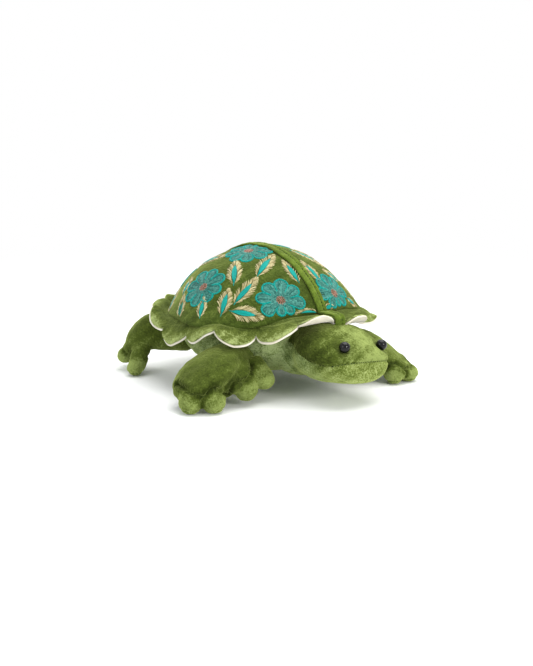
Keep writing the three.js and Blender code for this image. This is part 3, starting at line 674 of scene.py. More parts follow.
def make_world(strength, colour):
    """Soft light all round, which the camera, glass and gloss see as plain white."""
    world = bpy.data.worlds.new("studio")
    bpy.context.scene.world = world
    n = Nodes(world)
    path = n.node("LightPath").outputs
    seen = n.maths("MAXIMUM", path["Is Camera Ray"], path["Is Transmission Ray"])
    seen = n.maths("MAXIMUM", seen, path["Is Glossy Ray"])
    light = n.node("Background", {"Color": colour, "Strength": strength}).outputs[0]
    white = n.node("Background", {"Color": (1, 1, 1), "Strength": 1.0}).outputs[0]
    mixed = n.node("MixShader", {"Fac": seen, 1: light, 2: white}).outputs[0]
    n.node("OutputWorld", {"Surface": mixed})


def make_floor():
    """A pale round floor that fades into the white behind it."""
    bm = bmesh.new()
    bmesh.ops.create_circle(bm, cap_ends=True, segments=96, radius=2.4)
    mesh = bpy.data.meshes.new("floor")
    bm.to_mesh(mesh)
    bm.free()
    n = surface("floor")
    place = n.node("TexCoord").outputs["Object"]
    length = n.node("VectorMath", {0: place}, operation="LENGTH").outputs["Value"]
    fade = n.grey(length, 0.25, 0.75)
    fade = n.node("MapRange", {"Value": fade}, interpolation_type="SMOOTHSTEP").outputs["Result"]
    speck = n.noise(place, 6.25, 3, 0.6)
    colour = n.mix(speck, (0.9, 0.905, 0.9), (0.94, 0.94, 0.935))
    solid = n.shader(colour, n.bump(speck, 0.05, 0.2), Roughness=0.7, Specular_IOR_Level=0.1)
    clear = n.node("BsdfTransparent").outputs[0]
    mesh.materials.append(n.material(n.node("MixShader", {0: fade, 1: solid, 2: clear}).outputs[0]))
    linked("floor", mesh)


# ---------------------------------------------------------------- shell frame

SHELL_BASE = np.array([0.0, 2.0, 57.5])
SHELL_TURN = rotation("X", -4)
DOME_RADIUS, DOME_HEIGHT = 73.0, 49.0
CAP_RADIUS = (DOME_RADIUS**2 + DOME_HEIGHT**2) / (2 * DOME_HEIGHT)
CAP_CENTRE = np.array([0.0, 0.0, DOME_HEIGHT - CAP_RADIUS])
RIM_TOP = -0.3
RIM_DEPTH = 3.2


def in_shell(points):
    return (np.asarray(points) - SHELL_BASE) @ SHELL_TURN


def from_shell(points):
    return np.asarray(points) @ SHELL_TURN.T + SHELL_BASE


# ---------------------------------------------------------------- torso and head

BODY_SEMI = np.array([59.0, 70.0, 27.0])
BODY_CENTRE = np.array([0.0, 2.0, 36.5])
BODY_SEAM = 33.0
BODY_VOXEL = 2.0
CHIN = 12.5
HEAD_LENGTH, HEAD_WIDTH, HEAD_HEIGHT = 79.0, 64.0, 45.0
HEAD_TURN = rotation("Y", 5)
NECK_SEAM_Y = -60.0
HEAD_BEND = (to_frame([0, NECK_SEAM_Y, 35]), to_frame([0, -88, 35]))
# From neck to snout: shares of length, half width, top and bottom of the height.
HEAD_SECTIONS = [
    (-0.2, 0.62, 0.78, 0.2),
    (0.0, 0.74, 0.88, 0.1),
    (0.165, 0.82, 0.95, 0.05),
    (0.33, 0.96, 1.0, 0.0),
    (0.494, 1.0, 0.985, 0.015),
    (0.635, 0.965, 0.89, 0.045),
    (0.76, 0.87, 0.785, 0.08),
    (0.83, 0.76, 0.72, 0.11),
    (0.878, 0.61, 0.665, 0.15),
    (0.902, 0.41, 0.6, 0.21),
]
# The side seam, from snout to neck: shares of length and height.
HEAD_SEAM = [
    (1.3, 0.6), (0.9, 0.5), (0.76, 0.395), (0.62, 0.37),
    (0.45, 0.42), (0.26, 0.53), (0.02, 0.68), (-0.6, 0.74),
]
OFF_SEAM = 60  # added to a seam's distance where the seam ends


def pillow(centre, semi, roundness, around, along):
    rings = []
    a = round_angles(around)
    for t in np.arange(1, along) / along * np.pi:
        d = np.stack([np.sin(t) * np.cos(a), np.full(around, -np.cos(t)), -np.sin(t) * np.sin(a)], 1)
        size = (np.abs(d) ** roundness).sum(1) ** (-1 / roundness)
        rings.append(centre + d * size[:, None] * semi)
    return closed_loft(rings, centre - (0, semi[1], 0), centre + (0, semi[1], 0))


def skin_tree(obj):
    return BVHTree.FromObject(obj, bpy.context.evaluated_depsgraph_get())


def head_place(along, height, x=0.0):
    """A point of the head before its roll, from shares of the head's length and height."""
    return np.array([x, NECK_Y - HEAD_LENGTH * along, CHIN + HEAD_HEIGHT * height])


def head_points(points):
    """Head coordinates before its roll, for points of the rolled head."""
    return about(points, NECK_PIVOT, HEAD_TURN.T)


def head_seam_line():
    rows = np.array([head_place(*row) for row in HEAD_SEAM])
    y = np.linspace(rows[0, 1], rows[-1, 1], 200)
    z = np.interp(y, rows[:, 1], rows[:, 2])
    for _ in range(60):
        z[1:-1] = (z[:-2] + 2 * z[1:-1] + z[2:]) / 4
    return y, z


SEAM_Y, SEAM_Z = head_seam_line()


def head_seam_field(points):
    p = head_points(points)
    return p[:, 2] - np.interp(p[:, 1], SEAM_Y, SEAM_Z)


def body_seam_field(points):
    return points[:, 2] - BODY_SEAM


def head_loft():
    rings = []
    for along, width, top, bottom in smooth_rows(HEAD_SECTIONS, 30):
        side = np.array([HEAD_WIDTH / 2 * width, 0, 0])
        up = np.array([0, 0, HEAD_HEIGHT / 2 * (top - bottom)])
        rings.append(section(head_place(along, (top + bottom) / 2), side, up, 2.2, 40))
    verts, faces = closed_loft(rings, rings[0].mean(0), head_place(0.911, 0.41))
    return about(verts, NECK_PIVOT, HEAD_TURN), faces


def build_torso_and_head():
    verts, faces = pillow(BODY_CENTRE, BODY_SEMI, 2.05, 56, 40)
    local = in_shell(verts)
    local[:, 2] = np.minimum(local[:, 2], RIM_TOP - RIM_DEPTH - 0.4)
    neck = pillow(NECK_PIVOT + (0, 2, 0), np.array([30.0, 30.0, 21.5]), 2, 32, 24)
    form = make_object("torso_form", *joined([(from_shell(local), faces), neck, head_loft()]))
    voxel_union(form, BODY_VOXEL)
    v = coords(form)
    relax(form, 14, hill(v[:, 1], -64, 13))
    relax(form, 3)
    seam = np.where(v[:, 1] < NECK_SEAM_Y, head_seam_field(v), body_seam_field(v))
    pins = [
        0.9 * hill(seam, 0, 1.6),
        (in_shell(v)[:, 2] > -8) * 1.0,
        hill(v[:, 2], 9, 2.0) * (v[:, 2] < 14) * 0.5,
        crease_pins(form, 3.0),
    ]
    plump(form, np.maximum.reduce(pins), 2.2, 1.6)
    return form


def eye_seats(form):
    """Where the eyes sit: a point on the cover and the way that it faces, for each side."""
    tree = skin_tree(form)
    seats = {}
    for name, side, sunk in (("right_eye", -1, 1.2), ("left_eye", 1, 1.9)):
        lean = np.array([side * math.cos(58 * RAD), -math.cos(58 * RAD), math.sin(58 * RAD)])
        lean = HEAD_TURN @ (lean / np.linalg.norm(lean))
        seat = about(head_place(0.74, 0.56, 15 * side - (side > 0))[None], NECK_PIVOT, HEAD_TURN)[0]
        hit = tree.ray_cast(Vector(to_frame(seat + lean * 45)), Vector(-lean))[0]
        seats[name] = (from_frame(hit) - lean * sunk, lean)
    return seats


def finish_torso_and_head(form, seats):
    """The stuffing of both, and the seams, eye sockets and ripples of their skin."""
    head = linked("head_stuffing", form.data.copy())
    torso = linked("torso_stuffing", form.data.copy())
    cut_closed(head, NECK_SEAM_Y - 0.6, True)
    cut_closed(torso, NECK_SEAM_Y + 0.6, False)
    stuffing(head, 3.6, "head_filling", "head", HEAD_BEND)
    stuffing(torso, 2.8, "body_filling", "torso")

    subdivide(form)
    is_head = rise(-coords(form)[:, 1], -NECK_SEAM_Y - 4, 10)

    def side_seam(p):
        return head_seam_field(p) + OFF_SEAM * (p[:, 1] > NECK_SEAM_Y + 6)

    def mouth(p):
        return head_seam_field(p) + OFF_SEAM * (head_points(p)[:, 1] > -92)

    def body_seam(p):
        return body_seam_field(p) + OFF_SEAM * (p[:, 1] < NECK_SEAM_Y)

    groove(form, side_seam, 0.55, 1.0, 0.22, 3.4)
    groove(form, mouth, 0.8, 1.1)
    groove(form, body_seam, 0.7, 1.1, 0.2)
    v, n = coords(form), normals(form)
    for point, _ in seats.values():
        away = np.linalg.norm(v - point, axis=1)
        v -= n * (2.2 * hill(away, 0, 4.8) - 0.35 * hill(away, 8, 2.6))[:, None]
    set_coords(form, v)
    chest = rise(-v[:, 1], 50, 14) * rise(v[:, 1], -100, 16) * (v[:, 2] < 46)
    flank = rise(np.abs(v[:, 0]), 34, 12) * (1 - is_head)
    ripple(form, 0.7, 9, 3.1, chest, (1.5, 0.6, 0.9))
    ripple(form, 0.9, 11, 7.7, flank, (1, 1.3, 0.6))
    ripple(form, 0.25, 6, 5.3)


# Painted light and shade on the head's upper cover: painted shade on the sides by the neck and on the
# cheeks, painted light on the crown and along the upper lip at the snout's front.
def head_upper_shading(p):
    side = smoothstep(np.abs(p[:, 0]), 10, 26)
    neck = hill(p[:, 1], -74, 20) * side
    crown = hill(p[:, 0], 4, 13) * smoothstep(-p[:, 1], 82, 100)
    lip = hill(p[:, 2], 36, 4) * smoothstep(-p[:, 1], 96, 112)
    cheek = hill(p[:, 1], -96, 15) * hill(p[:, 2], 38, 9) * side
    return -0.03 - 0.5 * neck + 0.42 * crown + 0.3 * lip * (1 - side) - 0.14 * cheek


# Painted light and shade on the head's lower cover: painted light low on the chin, as thrown up from the
# floor, and painted shade just under the mouth's seam.
def head_lower_shading(p):
    chin = smoothstep(-p[:, 1], 88, 104)
    return 0.1 * hill(p[:, 2], 16, 7) * chin - 0.2 * hill(p[:, 2], 30, 4) * chin + 0.02


# Painted light and shade on the torso's covers: painted light on the chest, and painted shade high up, under
# the shell.
def body_shading(p):
    chest = smoothstep(-p[:, 1], 30, 52) * smoothstep(p[:, 2], 8, 20)
    return 0.12 - 0.1 * smoothstep(p[:, 2], 44, 54) + 0.26 * chest


def finish_panels(form):
    """Cuts the skin along its seams into the head's two covers and the torso's two, and paints their light
    and shade.
    """
    front, rear = split_at(form, lambda p: NECK_SEAM_Y - p[:, 1], ("head_cover", "torso_cover"))
    upper, lower = split_at(front, head_seam_field, ("head_upper_velvet", "head_lower_plush"))
    back, belly = split_at(rear, body_seam_field, ("torso_back_plush", "torso_belly_plush"))
    for obj in (form, front, rear):
        remove(obj)
    for obj, slot, node, tone_and_shade in (
        (upper, "dark_velvet", "head_upper_panel", head_upper_shading),
        (lower, "sage_plush", "head_lower_panel", head_lower_shading),
        (back, "sage_plush", "body_back_panel", body_shading),
        (belly, "sage_plush", "body_belly_panel", body_shading),
    ):
        keep_lay(obj)
        p = coords(obj)
        # painted light and shade of each cover
        paint(obj, "tone_and_shade", tone_and_shade(p))
        if slot == "sage_plush":
            # towards the jaw the plush turns yellower, and lighter as painted light from the floor
            warmth_and_light = 0.12 + 0.83 * rise(-p[:, 1], 84, 22)
            paint(obj, "warm_and_lit", warmth_and_light if obj is lower else np.full(len(p), 0.05))
        thicken(obj)
        if tone_and_shade is body_shading:
            piece(obj, slot, node)
        else:
            piece(obj, slot, node, "head", HEAD_BEND)


# ---------------------------------------------------------------- legs

# From the root: shares of the reach, of the way down, of the arch, of the half width and half height, and
# of the width by which the middle lies ahead.
FRONT_SECTIONS = [
    (-0.12, 0.0, 0.0, 0.5, 1.1, -0.22),
    (0.0, 0.0, 0.0, 0.58, 1.15, -0.17),
    (0.25, 0.0, 0.9, 0.74, 1.08, -0.04),
    (0.5, 0.1, 1.0, 0.93, 1.02, 0.07),
    (0.72, 0.36, 0.8, 1.02, 0.95, 0.08),
    (0.88, 0.68, 0.36, 0.94, 0.84, 0.09),
    (0.98, 0.92, 0.08, 0.62, 0.62, 0.1),
]
ARM_BEND = (0, 0, -0.3, 0.25, 0.9, 0.8, 0.3)
ARM_SECTIONS = [row[:2] + (bend,) + row[3:] for row, bend in zip(FRONT_SECTIONS, ARM_BEND)]
HIND_SECTIONS = [
    (-0.12, 0.0, 0.0, 0.7, 1.3, 0.0),
    (0.0, 0.0, 0.0, 0.76, 1.4, 0.0),
    (0.3, 0.0, 0.8, 0.84, 1.6, 0.0),
    (0.52, 0.05, 1.0, 0.86, 1.58, 0.0),
    (0.74, 0.3, 0.8, 0.82, 1.25, -0.04),
    (0.88, 0.6, 0.4, 0.72, 0.86, -0.08),
    (0.97, 0.86, 0.12, 0.45, 0.54, -0.1),
]
# Shares of the reach, half width and height, and of a quarter turn ahead.
FRONT_TOES = [
    (0.0, 0.84, 0.34, 1.1), (0.27, 0.84, 0.13, 1.0),
    (0.76, 0.86, 0.0, 0.7), (0.965, 0.42, 0.0, 0.3),
]
HIND_TOES = [(0.72, 1.05, 0.0, 0.5), (1.0, 0.0, 0.18, 0.1), (1.0, -0.8, 0.2, -0.2)]
# Shares of the reach and half width, height in mm, and the half axes in mm.
FRONT_WEBS = [
    (0.52, 0.52, 15, (9, 8, 8)),
    (0.1, 0.3, 23.5, (13, 9.5, 10)),
    (0.3, 0.62, 22, (13, 9.5, 10)),
    (0.45, 0.8, 19, (9, 8, 8)),
]
# Where the near front foot's toes are gathered, as places in the picture in pixels.
PALM_LINES = [
    [(176.5, 383.5), (181, 386.5), (186, 390)],
    [
        (186, 391.5), (194, 395), (201, 397), (205, 397), (207, 394),
        (210, 390), (213.5, 387.5), (219, 390), (225, 394), (229, 395),
    ],
    [(205, 397.5), (202.5, 401), (202, 405), (202, 410)],
    [(229, 395), (230, 390), (233, 384), (238, 381), (245, 380.5), (250, 377), (252.5, 370), (250.5, 363)],
]
# The same on a hind foot: shares of the reach and of the half width, and height in mm.
HIND_LINES = [[(0.6, 0.75, 17), (0.8, 0.6, 16), (0.92, 0.3, 15), (0.98, -0.3, 15), (0.92, -0.9, 13)]]
FOOT_TIP = 8.0
LEG_VOXEL = 1.7
# In mm. toe: the toes' radius; root: how far ahead the ball at the joint lies, and its half axes.
FRONT = dict(x=49.0, y=-40.0, z=28.0, width=44.0, toes=FRONT_TOES, webs=FRONT_WEBS)
FRONT |= dict(kind="front", rows=FRONT_SECTIONS, thick=21.0, toe=9.2, root=(-7, (14, 12, 12.5)))
ARM = dict(FRONT, kind="arm", rows=ARM_SECTIONS, thick=17.5, toe=7.8)
HIND = dict(x=40.0, y=54.0, z=31.0, width=34.0, toes=HIND_TOES, webs=[])
HIND |= dict(kind="hind", rows=HIND_SECTIONS, thick=19.0, toe=7.4, root=(0, (16, 16, 12.5)))
LEGS = {
    "right_front_leg": dict(FRONT, side=-1, heading=2, reach=63.0, arch=4.0, seed=1.0),
    "left_front_leg": dict(ARM, side=1, heading=46, reach=56.0, arch=-7.0, seed=2.0),
    "right_hind_leg": dict(HIND, side=-1, heading=-50, reach=47.0, arch=3.0, seed=3.0),
    "left_hind_leg": dict(HIND, side=1, heading=-50, reach=47.0, arch=3.0, seed=4.0),
}
# Painted shade over each kind of leg's velvet as a whole, most on the near front foot.
LEG_SHADING = {"front": -0.17, "arm": -0.01, "hind": -0.01}


def leg_axes(leg):
    h = leg["heading"] * RAD
    out = np.array([leg["side"] * math.cos(h), -math.sin(h), 0])
    ahead = np.array([-leg["side"] * math.sin(h), -math.cos(h), 0])
    return np.array([out, ahead, [0, 0, 1]])


def leg_origin(leg):
    return np.array([leg["side"] * leg["x"], leg["y"], 0])


def from_leg(leg, points):
    return np.asarray(points) @ leg_axes(leg) + leg_origin(leg)


def to_leg(leg, points):
    return (np.asarray(points) - leg_origin(leg)) @ leg_axes(leg).T


def leg_scale(leg, height=1):
    return np.array([leg["reach"], leg["width"] / 2, height])


def leg_spine(leg):
    """The middle line of a leg, with half its width and half its height."""
    rows = smooth_rows(leg["rows"], 26)
    height = leg["z"] + (FOOT_TIP - leg["z"]) * rows[:, 1] + leg["arch"] * rows[:, 2]
    points = np.stack([leg["reach"] * rows[:, 0], leg["width"] * rows[:, 5], height], 1)
    return points, leg["width"] / 2 * rows[:, 3], leg["thick"] / 2 * rows[:, 4]


def leg_loft(leg):
    points, wide, thick = leg_spine(leg)
    rings = []
    for i, p in enumerate(points):
        along = points[min(i + 1, len(points) - 1)] - points[max(i - 1, 0)]
        along[1] = 0
        along /= np.linalg.norm(along)
        up = np.cross(along, [0, 1, 0])
        rings.append(section(p, np.array([0, wide[i], 0]), up * thick[i], 2.15, 32))
    tip = points[-1] + (points[-1] - points[-2]) * 2.2
    return closed_loft(rings, points[0], tip)


def ball(centre, semi, axes=np.eye(3)):
    v, f = pillow(np.zeros(3), np.asarray(semi, float), 2, 20, 14)
    return v @ axes + centre, f


def toe_pads(leg):
    """The middles of a foot's toes, in the leg's own axes."""
    lift = (0, 0, leg["toe"] * 0.86)
    return [np.array(row[:3]) * leg_scale(leg, leg["z"]) + lift for row in leg["toes"]]


def toe_parts(leg, row, pad):
    """A toe: the ball of its tip, and a finger from the palm to it."""
    reach, forward, _, turn = row
    radius = leg["toe"]
    heading = turn * math.pi / 2
    ahead = np.array([math.cos(heading), math.sin(heading), 0])
    side = np.array([-math.sin(heading), math.cos(heading), 0])
    points, _, _ = leg_spine(leg)
    root_x = leg["reach"] * reach * 0.85
    root_z = np.interp(root_x, points[:, 0], points[:, 2])
    root = np.array([root_x, leg["width"] / 2 * forward * 0.3, root_z])
    semi = (radius * 0.99, radius * 0.92, radius * 0.88)
    pad_ball = ball(pad + ahead, semi, np.array([side, ahead, [0, 0, 1]]))
    line = pad - root
    length = np.linalg.norm(line)
    line = line / length
    across = np.cross(line, [0, 0, 1.0])
    across /= np.linalg.norm(across)
    up = np.cross(across, line)
    rings = []
    for t in np.linspace(0, 1, 8):
        size = radius * (0.94 + 0.04 * t)
        rings.append(section(root + line * length * t, across * size, up * size, 2, 20))
    return [pad_ball, closed_loft(rings, root, pad)]


def leg_seam_field(leg):
    """Height over the leg's seam, which runs low round the toes."""
    points, _, _ = leg_spine(leg)

    def field(p):
        q = to_leg(leg, p)
        high = np.interp(q[:, 0], points[:, 0], points[:, 2]) - leg["thick"] * 0.1
        toes = smoothstep(q[:, 0] / leg["reach"], 0.4, 0.75)
        ahead = smoothstep(q[:, 1] / leg["width"] * 2, 0.15, 0.6) * smoothstep(q[:, 0], -16, -2)
        return q[:, 2] - (high + (3.4 - high) * np.maximum(toes, ahead))

    return field


PALM_PLACES = []


def find_creases(leg, form):
    """The gathered lines on a leg's form, in its own axes: seen on the near foot, then carried over."""
    tree = skin_tree(form)
    if leg["kind"] == "hind":
        lines = [smooth_rows(line, 16) * leg_scale(leg) for line in HIND_LINES]
    elif PALM_PLACES:
        lines = [line * leg_scale(leg) for line in PALM_PLACES]
    else:
        lines = []
        for line in PALM_LINES:
            found = []
            for x, y in smooth_rows(line, 3 * len(line)):
                start, way = picture_ray(x, y)
                hit = tree.ray_cast(Vector(to_frame(start)), Vector(way))[0]
                if hit is not None:
                    found.append(from_frame(hit))
            lines.append(to_leg(leg, np.array(found)))
        PALM_PLACES.extend(line / leg_scale(leg) for line in lines)
    leg["lines"] = []
    for line in lines:
        near = [np.array(tree.find_nearest(Vector(to_frame(p)))[0]) for p in from_leg(leg, line)]
        leg["lines"].append(to_leg(leg, from_frame(near)))


def toe_crease(leg, p):
    """Distance in mm from the lines where the toes are gathered."""
    q = to_leg(leg, p)
    best = np.full(len(q), 1e9)
    for line in leg["lines"]:
        for a, b in zip(line[:-1], line[1:]):
            t = np.clip(((q - a) @ (b - a)) / max((b - a) @ (b - a), 1e-9), 0, 1)
            best = np.minimum(best, np.linalg.norm(q - a - t[:, None] * (b - a), axis=1))
    return best


def leg_shading(leg, p):
    """Painted light on the toes' tips, painted shade in the gathers and on the rear side, darker high on a
    hind thigh, and painted shade over the whole leg by its kind.
    """
    q = to_leg(leg, p)
    tips = np.zeros(len(p))
    for pad in toe_pads(leg):
        tips = np.maximum(tips, 1 - smoothstep(np.linalg.norm(q - pad, axis=1) / leg["toe"], 0.95, 1.5))
    crease = toe_crease(leg, p)
    gathered = 0.62 * hill(crease, 0, 1.6) + 0.38 * hill(crease, 0, 4.2)
    back = smoothstep(-q[:, 1] / leg["width"] * 2, 0.3, 1.0)
    thigh = smoothstep(q[:, 2], 22, 36) * (leg["kind"] == "hind")
    return 0.46 * tips - 0.75 * gathered - 0.16 * back - 0.16 * thigh + LEG_SHADING[leg["kind"]]


def leg_form(name, leg, field):
    """The stuffed leg, as one closed skin."""
    parts = [leg_loft(leg)]
    for row, pad in zip(leg["toes"], toe_pads(leg)):
        parts += toe_parts(leg, row, pad)
    for reach, ahead, high, semi in leg["webs"]:
        parts.append(ball(leg_scale(leg, high) * (reach, ahead, 1), semi))
    back, semi = leg["root"]
    parts.append(ball([0, back, leg["z"]], semi))
    verts, faces = joined(parts)
    if leg["side"] > 0:
        faces = [tuple(reversed(f)) for f in faces]
    form = make_object(name + "_form", from_leg(leg, verts), faces)
    voxel_union(form, LEG_VOXEL)
    relax(form, 3)
    v = coords(form)
    v[:, 2] = np.where(v[:, 2] < 1.2, 0.3 + 0.25 * np.maximum(v[:, 2], 0), v[:, 2])
    set_coords(form, v)
    pins = [
        crease_pins(form, 4.0),
        0.75 * hill(field(v), 0, 1.3),
        (v[:, 2] < 1.5) * 1.0,
        np.clip((12 - np.linalg.norm(to_leg(leg, v)[:, :2], axis=1)) / 4, 0, 1),
    ]
    plump(form, np.maximum.reduce(pins), 2.4, 1.3)
    return form


def draw_creases(leg, form, field):
    """Seam, gathers and ripples in the skin of a leg."""
    q = to_leg(leg, coords(form))
    toes = rise(q[:, 0], leg["reach"] * 0.55, leg["reach"] * 0.3)
    groove(form, field, 0.5, 0.9, 0.16, 3.2, lambda p: to_leg(leg, p)[:, 0] + 0.6 * to_leg(leg, p)[:, 1])
    find_creases(leg, form)
    v = coords(form)
    q, away = to_leg(leg, v), toe_crease(leg, v)
    along = np.sin(1.9 * q[:, 1]) * np.sin(1.3 * q[:, 0] + 1)
    fold = 2.3 * hill(away, 0, 1.3) - 0.4 * hill(away, 3.4, 2.0) + 0.35 * along * hill(away, 0, 4.5)
    press_in(form, smoothstep(field(v), 0.5, 3) * fold)
    ripple(form, 0.55, 10, leg["seed"] * 3.3, 1 - 0.6 * toes, (1.2, 1.2, 0.7))
    ripple(form, 0.22, 4.5, leg["seed"] * 5.1)
    ripple(form, 0.35, 6.5, leg["seed"] * 7.7, toes)
    v = coords(form)
    v[:, 2] = np.maximum(v[:, 2], 0.05)
    set_coords(form, v)


def build_leg(name, leg):
    field = leg_seam_field(leg)
    form = leg_form(name, leg, field)
    pivot, out = leg_origin(leg) + (0, 0, leg["z"]), leg_axes(leg)[0]
    bend = (to_frame(pivot + out * 2), to_frame(pivot + out * 24))
    stuffing(linked(name + "_stuffing", form.data.copy()), 3.4, name + "_filling", name, bend)
    subdivide(form)
    relax(form, 1)
    draw_creases(leg, form, field)
    upper, sole = split_at(form, field, (name + "_velvet", name + "_sole_plush"))
    remove(form)
    for obj, slot, node in (
        (upper, "leg_velvet", name + "_upper_panel"),
        (sole, "sage_plush", name + "_sole_panel"),
    ):
        keep_lay(obj)
        p = coords(obj)
        # the upper gets its painted light and shade; the soles are painted a little darker, as shade on the
        # undersides
        paint(obj, "tone_and_shade", leg_shading(leg, p) if obj is upper else np.full(len(p), -0.12))
        if obj is sole:
            # towards the toes the soles take the same yellower colours, with their painted light
            paint(obj, "warm_and_lit", 0.1 + 0.7 * smoothstep(to_leg(leg, p)[:, 0] / leg["reach"], 0.45, 0.8))
        thicken(obj)
        piece(obj, slot, node, name, bend)


# ---------------------------------------------------------------- shell


def revolve(name, outline, segments, shape=lambda verts: verts):
    """A closed skin round the shell's axis from an outline of radius and height."""
    angle = round_angles(segments)
    rings = []
    for r, h in outline[1:-1]:
        rings.append(np.stack([r * np.sin(angle), -r * np.cos(angle), np.full(segments, h)], 1))
    verts, faces = closed_loft(rings, [0, 0, outline[0][1]], [0, 0, outline[-1][1]])
    return make_object(name, from_shell(shape(verts)), faces)


def cap_outline(inset, steps):
    radius = CAP_RADIUS - inset
    span = math.acos(-CAP_CENTRE[2] / radius)
    angles = [span * i / steps for i in range(steps + 1)]
    return [(radius * math.sin(a), CAP_CENTRE[2] + radius * math.cos(a)) for a in angles]


FLARE_START, DOME_EDGE = 50.0, 67.7
FLARE_ARC, FLARE_OUT, FLARE_DOWN = 6.5, 7.3, 5.3


def flare_amount(angle):
    """How far the stuffed dome bulges down over the rim, by the angle in degrees from the face."""
    turn = np.abs((angle + 180) % 360 - 180)
    front, side, rear = (smoothstep(turn, *span) for span in ((18, 46), (74, 104), (112, 138)))
    return front * (1 - 0.75 * side) * (1 - rear)


def dome_shape(verts):
    """Points of the plain cap taken to the stuffed dome: gentle waves, and a bulge over the rim."""
    out = verts - CAP_CENTRE
    size = np.linalg.norm(out, axis=1)
    theta = np.degrees(np.arccos(np.clip(out[:, 2] / size, -1, 1)))
    angle = np.degrees(np.arctan2(verts[:, 0], -verts[:, 1]))
    wave = 0.34 * noise_at(verts, 17, 4.4) + 0.14 * noise_at(verts, 6, 9.1)
    moved = verts + out / size[:, None] * (wave * np.clip(verts[:, 2] / 8, 0, 1))[:, None]
    share = np.clip((theta - FLARE_START) / (DOME_EDGE - FLARE_START), 0, 1.1)
    much = flare_amount(angle) * share**2 * smoothstep(size, CAP_RADIUS - 6, CAP_RADIUS - 2)
    flat = np.hypot(verts[:, 0], verts[:, 1]).clip(1e-6)
    moved[:, 0] += verts[:, 0] / flat * FLARE_OUT * much
    moved[:, 1] += verts[:, 1] / flat * FLARE_OUT * much
    moved[:, 2] -= FLARE_DOWN * much
    return moved


def build_dome():
    edge = [(DOME_RADIUS - 0.2, 0.15), (DOME_RADIUS - 0.6, 0.0)]
    outline = cap_outline(0, 56)[:-1] + edge + cap_outline(1.2, 20)[::-1][1:]
    dome = revolve("shell_dome_velvet", outline, 200, dome_shape)
    shell = in_shell(coords(dome))
    angle = np.arctan2(shell[:, 0], -shell[:, 1])
    # Painted shade in a band along the middle, beside the strap, and in the valley at the dome's foot;
    # painted light low on the rear sides.
    valley = smoothstep(6 - shell[:, 2], 0, 8)
    rear = hill(np.abs(np.degrees(angle)), 112, 22) * hill(shell[:, 2], 14, 12)
    paint(dome, "tone_and_shade", 0.02 - 0.22 * hill(shell[:, 0], 0, 9) - 0.12 * valley + 0.3 * rear)
    piece(dome, "dark_velvet", "shell_dome_cover", material="dome_velvet")
    fill = revolve("shell_dome_stuffing", cap_outline(1.6, 24) + [(0, 0.0)], 64)
    piece(fill, "stuffing", "shell_dome_filling")
    bottom = RIM_TOP - RIM_DEPTH
    outline = [(0, RIM_TOP), (40, RIM_TOP), (62, RIM_TOP), (64.2, RIM_TOP - 0.4), (64.7, -2)]
    outline += [(64.2, bottom + 0.4), (62, bottom), (40, bottom), (0, bottom)]
    piece(revolve("shell_base_lining", outline, 96), "cream_lining", "shell_base_pad")


SCALLOPS = 17
LOBE_STEPS = 28
NOTCH, TIP = 12.0, 24.0
STRAP_REACH, STRAP_NOTCH = 17.0, 15.0
STRAP_WIDTH = 10.0
RIM_INNER = 65.0
RIM_STATIONS = np.concatenate([np.linspace(0.02, 0.92, 14), [0.96, 0.985, 1.0]])
# How the rim leans on each side: angle from the face, and degrees above level.
RIGHT_LEAN = [
    (0, -7), (10.6, -10), (21, -15), (32, -31), (42, -48), (53, -44), (63.5, -20), (74, -42),
    (80, -51), (85, -54), (95, -57), (101, -52), (106, -40), (112, -36), (116, -28), (122, -4),
    (127, 26), (132, 29), (138, 27), (148, 40), (160, 34), (180, 32),
]
LEFT_LEAN = [
    (0, -7), (4, -26), (10.6, -35), (21, -37), (32, -30), (42, -36), (56, -38), (75, -35),
    (95, -44), (108, -38), (118, -26), (127, 4), (140, 28), (160, 34), (180, 32),
]
draws = np.random.default_rng(11)
LOBE_FULL = draws.uniform(0.8, 1.25, SCALLOPS)
LOBE_LONG = draws.uniform(0.94, 1.04, SCALLOPS)
LOBE_LONG[:8] = (0.95, 1.0, 0.95, 0.78, 0.9, 0.62, 0.66, 0.76)
LOBE_LONG[-1] = 1.12
# Lobes that curl up towards their tips: degrees, where the curl starts, and how far one side is higher.
CURL = {k: (float(draws.uniform(0, 12)), 0.6, float(draws.uniform(-1.5, 1.5))) for k in range(SCALLOPS)}
CURL |= {0: (78.0, 0.6, 0.0), 1: (22.0, 0.6, 1.5), 3: (4.0, 0.6, 2.5), 4: (6.0, 0.6, 2.0)}
CURL |= {SCALLOPS - 1: (93.0, 0.39, -0.6), SCALLOPS - 2: (40.0, 0.5, 2.5)}


def rim_column(k, t):
    """Angle from the face, length and lobe fullness for a place t along lobe k."""
    lobe = 2 * math.pi / SCALLOPS
    gap = math.asin((STRAP_WIDTH / 2 + 0.3) / (DOME_RADIUS + STRAP_NOTCH))
    start = k * lobe + (gap if k == 0 else 0)
    end = (k + 1) * lobe - (gap if k == SCALLOPS - 1 else 0)
    a = STRAP_REACH if k == 0 else NOTCH
    b = STRAP_REACH if k == SCALLOPS - 1 else NOTCH
    notch = a + (b - a) * t
    full = math.sin(math.pi * t) if 0 < t < 1 else 0.0
    return start + (end - start) * t, notch + (TIP * LOBE_LONG[k] - notch) * full**0.62, full


